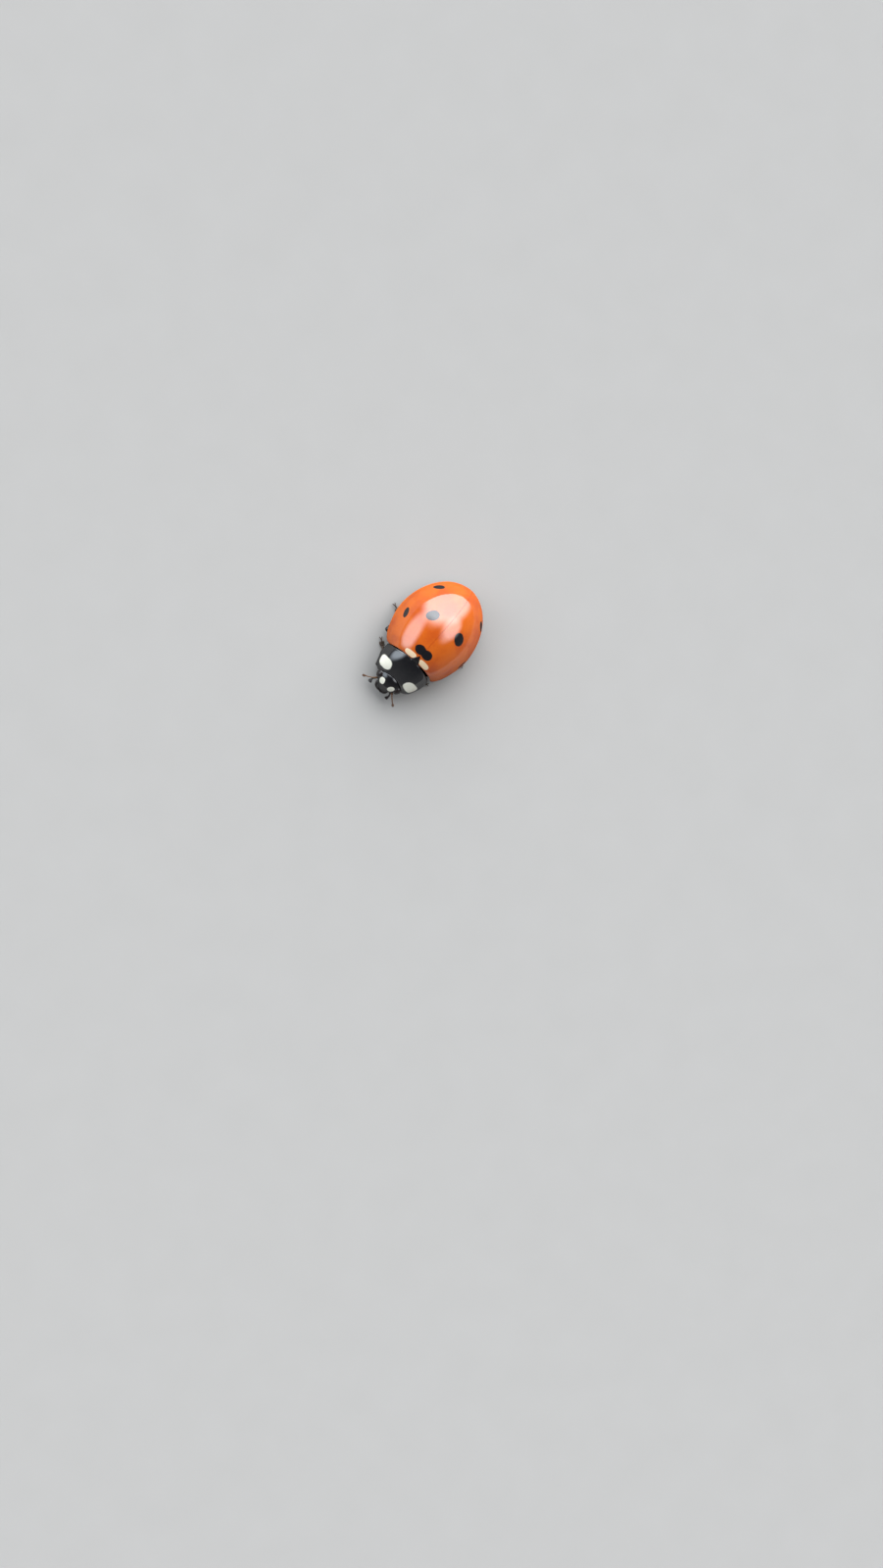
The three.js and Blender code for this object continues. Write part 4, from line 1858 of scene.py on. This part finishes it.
@dataclass
class Legs:
    """Six folded legs: hip, thigh, shin and a three-jointed foot with two toothed claws.

    Attributes:
        stances: each pair's.
        heights: of the middles of hip, knee, ankle and claw joint.
        hip_half: half the size of the hip joint each way.
        hip_rise: how far the hip joint's middle lies above the hip.
        thigh: radii along the thigh.
        shin: radii along the shin.
        wedge: the foot's first joint: how far ahead of the ankle, how far out and how high.
        saddle: the middle of its pad, likewise.
        lobe: the pad's left lobe.
        stalk: the small joint on the pad.
        claw: the left claw: how far past the claw joint, how far out and how high.
        tooth: the claw's tooth, likewise.
    """

    stances: Mapping[Pair, Stance] = field(default_factory=lambda: {
        Pair.FRONT: Stance((0.45, -0.72), (0.95, 0.87, 0.6), (-46, 82, 28), (-40, 76, 38), spurs=False),
        Pair.MIDDLE: Stance((0.78, 0.8), (1.35, 1.12, 0.68), (-10, 101, 16), (-13, 99.3, 19)),
        Pair.HIND: Stance((0.88, 2.05), (1.42, 1.25, 0.7), (25, 132, 62), (28, 137, 58)),
    })
    heights: tuple[float, float, float, float] = (0.57, 0.47, 0.17, 0.12)
    hip_half: Point = (0.22, 0.18, 0.16)
    hip_rise: float = 0.14
    thigh: tuple[float, ...] = (0.10, 0.165, 0.185, 0.165, 0.115)
    shin: tuple[float, ...] = (0.065, 0.082, 0.094, 0.108, 0.10)
    wedge: tuple[Point, ...] = ((-0.03, 0, 0.15), (0.10, 0, 0.11), (0.24, 0, 0.078))
    saddle: tuple[Point, ...] = ((0.17, 0, 0.10), (0.38, 0, 0.085))
    lobe: tuple[Point, ...] = ((0.20, 0.03, 0.07), (0.36, 0.07, 0.056), (0.50, 0.085, 0.046))
    stalk: tuple[Point, ...] = ((0.34, 0, 0.115), (0.45, 0, 0.125))
    claw: tuple[Point, ...] = (
        (0.03, 0.02, 0.125), (0.10, 0.05, 0.125), (0.155, 0.075, 0.075), (0.165, 0.08, 0.006),
    )
    tooth: tuple[Point, ...] = ((0.085, 0.042, 0.115), (0.115, 0.03, 0.06))

    def joints(self, pair: Pair, side: Side) -> list[Array]:
        """Works out where a leg bends.

        Args:
            pair: the pair that it is in.
            side: the side that it is on.

        Returns:
            The middles of its hip, knee, ankle and claw joint.
        """
        stance = self.stances[pair]
        turns = stance.left if side is Side.LEFT else stance.right
        made = [np.array([side.value * stance.hip[0], stance.hip[1], self.heights[0]])]
        for length, turn, height in zip(stance.lengths, turns, self.heights[1:]):
            way = np.array([side.value * math.cos(math.radians(turn)), math.sin(math.radians(turn))])
            made.append(np.array([*(made[-1][:2] + length * way), height]))
        return made

    def _thigh(self, hip: Array, knee: Array, coat: Coat) -> Cast:
        """Shapes the hip joint, the small joint beyond it and the thigh.

        Args:
            hip: the middle of the hip.
            knee: the middle of the knee.
            coat: the legs' hairs.

        Returns:
            The thigh.
        """
        along = unit(knee - hip)
        socket = hip + np.array([0, 0, self.hip_rise])
        ring = Limb((hip - 0.06 * along, hip + 0.20 * along), (0.10, 0.125), flat=0.85)
        middle = (hip + knee) / 2 + np.array([0, 0, 0.015])
        line = (hip + 0.06 * along, middle, knee + 0.07 * along)
        rod = Limb(line, self.thigh, flat=0.8, rows=36, sides=24).grid()
        coat.grow(rod, 260, 0.075, 0.0045, lean=64, flip=True)
        return Cast().sheet(ball(socket, self.hip_half), around=True).rod(ring).sheet(rod, around=True)

    def _shin(self, knee: Array, ankle: Array, spurs: bool, coat: Coat) -> Cast:
        """Shapes the shin, and its spurs if it has them.

        Args:
            knee: the middle of the knee.
            ankle: the middle of the ankle.
            spurs: whether it ends in two spurs.
            coat: the legs' hairs.

        Returns:
            The shin.
        """
        along = unit(ankle - knee)
        aside = unit(np.cross(along, UP))
        middle = (knee + ankle) / 2 + aside * 0.02 + np.array([0, 0, 0.03])
        rod = Limb((knee, middle, ankle), self.shin, flat=0.9, rows=36, sides=20).grid()
        coat.grow(rod, 340, 0.085, 0.0050, lean=56, rows=(0.12, 0.97), flip=True)
        cast = Cast().sheet(rod, around=True)
        for sign in (-1, 1) if spurs else ():
            root = ankle - 0.05 * along + aside * sign * 0.055 - np.array([0, 0, 0.05])
            tip = root + 0.12 * along + aside * sign * 0.035 - np.array([0, 0, 0.025])
            cast.rod(Limb((root, tip), (0.016, 0.003), rows=12, sides=8))
        return cast

    def _foot(self, ankle: Array, toe: Array, coat: Coat) -> Cast:
        """Shapes the foot: a wedge, a two-lobed pad, a slender last joint and its claws.

        Args:
            ankle: the middle of the ankle.
            toe: the middle of the claw joint.
            coat: the legs' hairs.

        Returns:
            The foot.
        """
        along = unit((toe - ankle) * [1, 1, 0])
        aside = unit(np.cross(along, UP))
        reach = float(np.linalg.norm((toe - ankle)[:2]))

        def line(points: Sequence[Point], sign: int = 1, start: float = 0.0) -> list[Array]:
            """Points of the foot, from how far they lie past the start, how far out and how high."""
            floor = ankle * [1, 1, 0]
            return [floor + (0, 0, z) + along * (start + x) + aside * sign * y for x, y, z in points]

        cast = Cast()
        pads = [
            Limb(line(self.wedge), (0.055, 0.078, 0.098), flat=0.66).grid(),
            Limb(line(self.saddle), (0.05, 0.085), flat=0.6).grid(),
        ]
        for sign in (-1, 1):
            pads.append(Limb(line(self.lobe, sign), (0.05, 0.068, 0.05), flat=0.62, blunt=1.4).grid())
        for pad in pads:
            cast.sheet(pad, around=True)
            coat.grow(pad, 100, 0.060, 0.0045, lean=58, flip=True)
            coat.grow(pad, 130, 0.030, 0.0045, lean=30, rows=(0.3, 0.9), columns=(0.58, 0.92), flip=True)
        cast.rod(Limb(line(self.stalk), (0.034, 0.036), rows=14))
        last = line(((0.42, 0, 0.125), (0.42 + (reach - 0.36) / 2, 0, 0.15), (reach + 0.06, 0, 0.125)))
        cast.rod(Limb(last, (0.026, 0.034, 0.048), blunt=0.8))
        for sign in (-1, 1):
            cast.rod(Limb(line(self.claw, sign, reach), (0.026, 0.024, 0.015, 0.003), rows=18, sides=10))
            cast.rod(Limb(line(self.tooth, sign, reach), (0.022, 0.004), rows=10, sides=8))
        return cast

    def build(self, coat: Coat) -> list[bpy.types.Object]:
        """Makes the pieces, and grows their hairs.

        Args:
            coat: the legs' hairs.

        Returns:
            The pieces.
        """
        tint = (0.026, 0.018, 0.014)
        black = BlackFinish("leg_black", tint=tint, roughness=0.34, coat=0.35, pits=22.0).paint()
        pale, dark = (0.055, 0.028, 0.014), (0.020, 0.012, 0.009)
        brown = HornFinish("foot_horn", pale, dark, (0, 0, 1), 0.05, roughness=0.4).paint()
        made = []
        for pair, stance in self.stances.items():
            for side in Side:
                hip, knee, ankle, toe = self.joints(pair, side)
                parts = (
                    ("thigh", "femur", self._thigh(hip, knee, coat), black, Slot.LEG),
                    ("shin", "tibia", self._shin(knee, ankle, stance.spurs, coat), black, Slot.LEG),
                    ("foot", "tarsus", self._foot(ankle, toe, coat), brown, Slot.FOOT),
                )
                for word, node, cast, material, slot in parts:
                    piece = cast.object(f"{word}_{pair.value}_{side.word}", material, slot)
                    made.append(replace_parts(piece, f"leg_{pair.value}_{side.word}_{node}"))
        return made


# ---- trunk


@dataclass
class Trunk:
    """What shows under the dome: the breast plates, the belly plates and the body that carries them.

    Attributes:
        cases: the wing cases that it lies in.
        breast: the height of its underside in front.
        dip: how far the belly hangs lower.
        side_rise: how far its underside rises at the sides.
        waist: where the belly starts to dip.
        joints: y of the front edges of the belly plates, and of the last one's tip.
        plate: how thick a plate is.
        step: how far a plate's rear edge stands out over the next one.
        lap: how far it reaches over the next one.
        bow: how far the sides of a belly plate lie ahead of its middle.
        core: y of the body's front and rear.
        roof_gap: how far its roof lies under the wing cases.
        fore: y of the front and rear of the front breast plate.
        mid: y of the front and rear of the rear breast plate.
        flanks: y of the front and rear of the plates beside it.
    """

    cases: WingCases
    breast: float = 0.83
    dip: float = 0.15
    side_rise: float = 0.3
    waist: float = 3.31
    joints: tuple[float, ...] = (2.36, 2.98, 3.46, 3.88, 4.24, 4.56, 4.80)
    plate: float = 0.07
    step: float = 0.035
    lap: float = 0.03
    bow: float = 0.14
    core: tuple[float, float] = (-0.42, 4.86)
    roof_gap: float = 0.62
    fore: tuple[float, float] = (0.16, 0.96)
    mid: tuple[float, float] = (0.98, 2.38)
    flanks: tuple[float, float] = (0.86, 2.40)

    def width_at(self, y: Array) -> Array:
        """Half the width between the turned-under rims."""
        return DOME.half_width_at(y) - self.cases.bead - self.cases.flange_at(y) - 0.05

    def belly_at(self, x: Array, y: Array) -> Array:
        """How high the underside is.

        Args:
            x: across.
            y: along.

        Returns:
            The height.
        """
        tail = np.clip((y - self.waist) / (DOME.length - self.waist), 0, 1)
        edge = np.abs(x) / np.maximum(0.2, self.width_at(y))
        rise = self.side_rise * (x / DOME.half_width) ** 4 + 0.10 * smooth(edge, 0.75, 1.02)
        return self.breast - self.dip * np.sin(math.pi * tail) + rise

    def _plate(self, x: Array, y: Array, proud: Array) -> tuple[Array, Array]:
        """The two faces of a plate on the underside.

        Args:
            x: across, for each row and column.
            y: along.
            proud: how far it stands out of the underside.

        Returns:
            Its inner and outer faces.
        """
        low = np.stack([x, y, self.belly_at(x, y) - proud], -1)
        return low + np.array([0, 0, self.plate]), low

    def _core(self) -> Cast:
        """Shapes the body that the plates are set on, up to the roof of the wing cases.

        Returns:
            The body.
        """
        y = np.linspace(*self.core, 60)[:, None]
        shoulder = 0.35
        neck = 0.95 + 0.55 * smooth(y, self.core[0], shoulder)
        neck = np.minimum(neck, self.width_at(np.maximum(y, 0.3)))
        width = np.where(y > shoulder, self.width_at(y) - 0.02, neck)
        x = np.sin(np.linspace(-1, 1, 49) * math.pi / 2)[None, :] * width
        roof = DOME.height_at(x, np.maximum(y, 0.1)) - self.roof_gap
        roof = np.minimum(roof, 1.7 + 1.1 * smooth(y, -0.5, 1.6))
        floor = self.belly_at(x, y) + 0.045
        top = np.stack([x, y + 0 * x, np.maximum(roof, floor + 0.16)], -1)
        low = np.stack([x, y + 0 * x, floor], -1)
        return Cast().plate(top, low, 0.15)

    def _belly(self, coat: Coat) -> Cast:
        """Shapes the belly plates, each lapping over the next.

        Args:
            coat: the hairs of the breast and belly.

        Returns:
            The plates.
        """
        cast = Cast()
        across = np.linspace(-1, 1, 61)[None, :]
        for front, rear in zip(self.joints, self.joints[1:]):
            back = np.linspace(0, 1, 14)[:, None]
            y = front + (rear + self.lap - front) * back - self.bow * across**2 + 0 * across
            taper = 0.25 if rear == self.joints[-1] else 0.0
            width = np.maximum(0.12, self.width_at(y)) * (1 - taper * back**2)
            upper, lower = self._plate(across * width, y, self.step * back + 0 * across)
            cast.plate(upper, lower, 0.7)
            coat.grow(lower, 420, 0.075, 0.006, lean=66, flip=True)
        return cast

    def _breast(self, coat: Coat) -> Cast:
        """Shapes the breast plates between and beside the legs.

        Args:
            coat: the hairs of the breast and belly.

        Returns:
            The plates.
        """
        cast = Cast()
        across = np.linspace(-1, 1, 61)[None, :]
        back = np.linspace(0, 1, 34)[:, None]
        y = between(self.mid, back) + 0.10 * across**2 * (1 - 2 * back)
        width = (self.width_at(y) - 0.34) * (1 - 0.30 * (1 - back) ** 3)
        groove = -0.02 * np.exp(-((across * width / 0.035) ** 2))
        upper, lower = self._plate(across * width, y, 0.03 + 0.03 * (1 - across**2) + groove)
        cast.plate(upper, lower, 0.7)
        coat.grow(lower, 700, 0.07, 0.006, lean=60, flip=True)
        y = between(self.fore, back) - 0.08 * across**2
        proud = 0.02 + 0.03 * (1 - across**2) + 0 * y
        upper, lower = self._plate(across * (0.72 + 0.25 * back), y, proud)
        cast.plate(upper, lower, 0.7)
        coat.grow(lower, 300, 0.06, 0.006, lean=60, flip=True)
        for side in Side:
            share = np.linspace(0, 1, 12)[None, :]
            y = between(self.flanks, back) + 0 * share
            inner = (self.width_at(y) - 0.32) * (1 - 0.10 * (1 - back) ** 3)
            x = side.value * (inner + (self.width_at(y) - inner) * share)
            upper, lower = self._plate(x, y, 0.02 + 0 * y)
            cast.plate(upper, lower, 0.7)
        return cast

    def _pale_plates(self) -> Cast:
        """Shapes the two pale plates behind the shield's rear corners.

        Returns:
            The plates.
        """
        cast = Cast()
        share, back = np.linspace(0, 1, 16)[None, :], np.linspace(0, 1, 18)[:, None]
        for side in Side:
            y = 0.22 + 0.56 * back + 0.10 * share * (1 - back)
            inner = 1.02 + 0.10 * back
            x = side.value * (inner + (self.width_at(y) - inner) * share)
            upper, lower = self._plate(x, y, 0.025 - 0.10 * share**2 * (1 - back) + 0 * y)
            cast.plate(upper, lower, 0.7)
        return cast

    def _collar(self, coat: Coat) -> Cast:
        """Shapes the underside of the shield's segment, between the head and the breast.

        Args:
            coat: its hairs.

        Returns:
            The underside.
        """
        across, back = np.linspace(-1, 1, 49)[None, :], np.linspace(0.26, 0.94, 20)[:, None]
        roof = SHIELD.points(across * 0.88, back, 0.12 + 0 * across)
        roof = roof - outward(roof) * 0.24
        share = np.abs(roof[..., 0]) / 1.3
        low = roof.copy()
        low[..., 2] = 0.87 + 0.34 * share**2.4
        cast = Cast().plate(roof, low, 0.12)
        coat.grow(low, 420, 0.06, 0.006, lean=60, flip=True)
        return cast

    def build(self, coat: Coat, front_coat: Coat) -> list[bpy.types.Object]:
        """Makes the pieces, and grows their down.

        Args:
            coat: the hairs of the breast and belly.
            front_coat: those of the shield's segment, which turns with the head.

        Returns:
            The pieces.
        """
        finish = BlackFinish(
            "belly_black", tint=(0.030, 0.022, 0.018), roughness=0.42, coat=0.15, pits=16.0, depth=0.004
        )
        black = finish.paint()
        cream = HornFinish("pale_plate", (0.80, 0.76, 0.60), (0.62, 0.54, 0.38), (1.0, 0, 0), 1.1).paint()
        core = self._core().object("trunk_core", black, Slot.BELLY)
        breast = self._breast(coat).object("breast_plates", black, Slot.BELLY)
        belly = self._belly(coat).object("belly_plates", black, Slot.BELLY)
        collar = self._collar(front_coat).object("collar_plate", black, Slot.BELLY, True)
        pale = self._pale_plates().object("pale_side_plates", cream, Slot.BELLY)
        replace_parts(core, "thorax", "abdomen")
        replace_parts(collar, "prothorax")
        return [core, breast, belly, collar, pale]


# ---- studio


@dataclass(frozen=True)
class Glow:
    """A broad soft light in the room's dome, with no hard edge.

    Attributes:
        azimuth: degrees round from the beetle's left towards its tail.
        rise: degrees above the floor.
        spread: how far it reaches sideways and upwards, as sines.
        core: the share of its spread at which it starts to fade.
        strength: how bright its middle is.
        colour: its colour.
    """

    azimuth: float
    rise: float
    spread: tuple[float, float]
    core: float
    strength: float
    colour: Colour = (1.0, 1.0, 1.0)

    def shine(self, painter: Painter, way: Flow) -> Flow:
        """The light from each direction.

        Args:
            painter: the room's painter.
            way: the direction.

        Returns:
            Its colour, as bright as it is there.
        """
        turn, rise = math.radians(self.azimuth), math.radians(self.rise)
        ahead = (math.cos(turn) * math.cos(rise), math.sin(turn) * math.cos(rise), math.sin(rise))
        aside = (-math.sin(turn) / self.spread[0], math.cos(turn) / self.spread[0], 0.0)
        above = np.array([-math.cos(turn) * math.sin(rise), -math.sin(turn) * math.sin(rise), math.cos(rise)])
        gone = (way.dot(aside) ** 2 + way.dot(above / self.spread[1]) ** 2) ** 0.5
        near = painter.step(gone, 1.0, self.core) * painter.step(way.dot(ahead), 0.0, 0.15)
        return near * self.strength * self.colour


@dataclass
class Studio:
    """The pale floor, the soft light of the room and the camera.

    Attributes:
        aim: the point of the beetle that the view is set by, in its own frame.
        distance: from that point to the camera.
        side_lean: degrees that the camera leans to the beetle's right.
        front_lean: degrees that it leans to the beetle's front.
        roll: degrees that the beetle is turned in the view.
        below: degrees from that point down to the middle of the view.
        lens: in millimetres.
        film: the long side of the film, in millimetres.
        far: the furthest that the camera sees, in metres.
        floor_side: of the floor, in metres.
        zenith: the room's light from straight above.
        skyline: the room's light from the level of the floor.
        glows: the soft lights.
        backdrop: what the camera sees past the floor, as bright as the floor.
    """

    aim: Point = (-0.01, 2.355, 2.4)
    distance: float = 102.1
    side_lean: float = 8.2
    front_lean: float = 6.5
    roll: float = 41.95
    below: float = 4.82
    lens: float = 42.03
    film: float = 36.0
    far: float = 100.0
    floor_side: float = 6.0
    zenith: Colour = (0.065, 0.07, 0.08)
    skyline: Colour = (0.24, 0.245, 0.26)
    glows: tuple[Glow, ...] = (
        Glow(115, 20, (0.81, 0.89), 0.72, 4.8, (0.90, 0.94, 1.0)),
        Glow(197, 33, (0.62, 0.52), 0.48, 2.7, (0.80, 0.90, 1.0)),
        Glow(50, 58, (0.42, 0.43), 0.42, 3.1, (0.92, 0.95, 1.0)),
    )
    backdrop: Colour = (0.610, 0.618, 0.620)

    def _camera(self) -> None:
        """Adds the camera."""
        lean, nod = math.radians(self.side_lean), math.radians(self.front_lean)
        away = Vector((-math.sin(lean) * math.cos(nod), -math.sin(nod), math.cos(lean) * math.cos(nod)))
        away.normalize()
        ahead = -away
        right = ahead.cross(Vector((0, 1, 0))).normalized()
        up = right.cross(ahead)
        turn, drop = math.radians(self.roll), math.radians(self.below)
        cos, sin = math.cos(turn), math.sin(turn)
        right, up = right * cos + up * sin, up * cos - right * sin
        cos, sin = math.cos(drop), math.sin(drop)
        ahead, up = ahead * cos - up * sin, up * cos + ahead * sin
        data = bpy.data.cameras.new("camera")
        data.sensor_fit = "AUTO"
        data.sensor_width = self.film
        data.lens = self.lens
        data.clip_start = MM
        data.clip_end = self.far
        camera = bpy.data.objects.new("camera", data)
        spot = np.array(self.aim) + np.array(away) * self.distance
        place = Matrix((right, up, -ahead)).transposed().to_4x4()
        place.translation = Vector(BEARINGS.place(spot, False))
        camera.matrix_world = place
        bpy.context.scene.collection.objects.link(camera)
        bpy.context.scene.camera = camera

    def _floor(self) -> None:
        """Adds the floor."""
        mesh = bpy.data.meshes.new("floor")
        half = self.floor_side / 2
        corners = [(-half, -half, 0), (half, -half, 0), (half, half, 0), (-half, half, 0)]
        mesh.from_pydata(corners, [], [(0, 1, 2, 3)])
        mesh.materials.append(FloorFinish().paint())
        floor = bpy.data.objects.new("floor", mesh)
        bpy.context.scene.collection.objects.link(floor)

    def _room(self) -> None:
        """Makes the room's light, and a plain backdrop that only the camera sees."""
        world = bpy.data.worlds.new("room")
        world.use_nodes = True
        painter = Painter.on(world.node_tree)
        way = painter.node("ShaderNodeTexCoord", {}, {}, "Generated")
        light = painter.mix(painter.step(way.dot(UP), 0.0, 0.9), self.skyline, self.zenith)
        for glow in self.glows:
            light = light + glow.shine(painter, way)
        seen = painter.node("ShaderNodeLightPath", {}, {}, "Is Camera Ray")
        shown = painter.node("ShaderNodeBackground", {}, {"Color": painter.mix(seen, light, self.backdrop)})
        painter.node("ShaderNodeOutputWorld", {}, {"Surface": shown})
        bpy.context.scene.world = world
        bpy.context.scene.view_settings.view_transform = "Standard"

    def build(self) -> None:
        """Sets the scene."""
        self._camera()
        self._floor()
        self._room()


# ---- assembly


def main() -> None:
    """Builds the ladybird and its studio, and reports each piece."""
    logging.basicConfig(level=logging.INFO, format="%(name)s: %(message)s")
    Studio().build()
    cases = WingCases()
    black = BlackFinish("scutellum_black", pits=16.0).paint()
    feeler_down, leg_hair = Coat(seed=11, tiles=22), Coat(seed=12, tiles=60)
    belly_down, collar_down = Coat(seed=13, tiles=9), Coat(seed=14, tiles=1)
    made = cases.build(black)
    made += Shield().build()
    made += Head().build()
    made += Feelers().build(feeler_down)
    made += Legs().build(leg_hair)
    made += Trunk(cases).build(belly_down, collar_down)
    hair = HairFinish().paint()
    for name, coat, slot, turned in (
        ("feeler_down", feeler_down, Slot.FEELER, True),
        ("leg_hairs", leg_hair, Slot.LEG, False),
        ("belly_down", belly_down, Slot.BELLY, False),
        ("collar_down", collar_down, Slot.BELLY, True),
    ):
        made.append(coat.dress(coat.object(name, hair, slot, turned)))
    for piece in made:
        log.info("%s: %d faces", piece.name, len(piece.data.polygons))


if __name__ == "__main__":
    main()
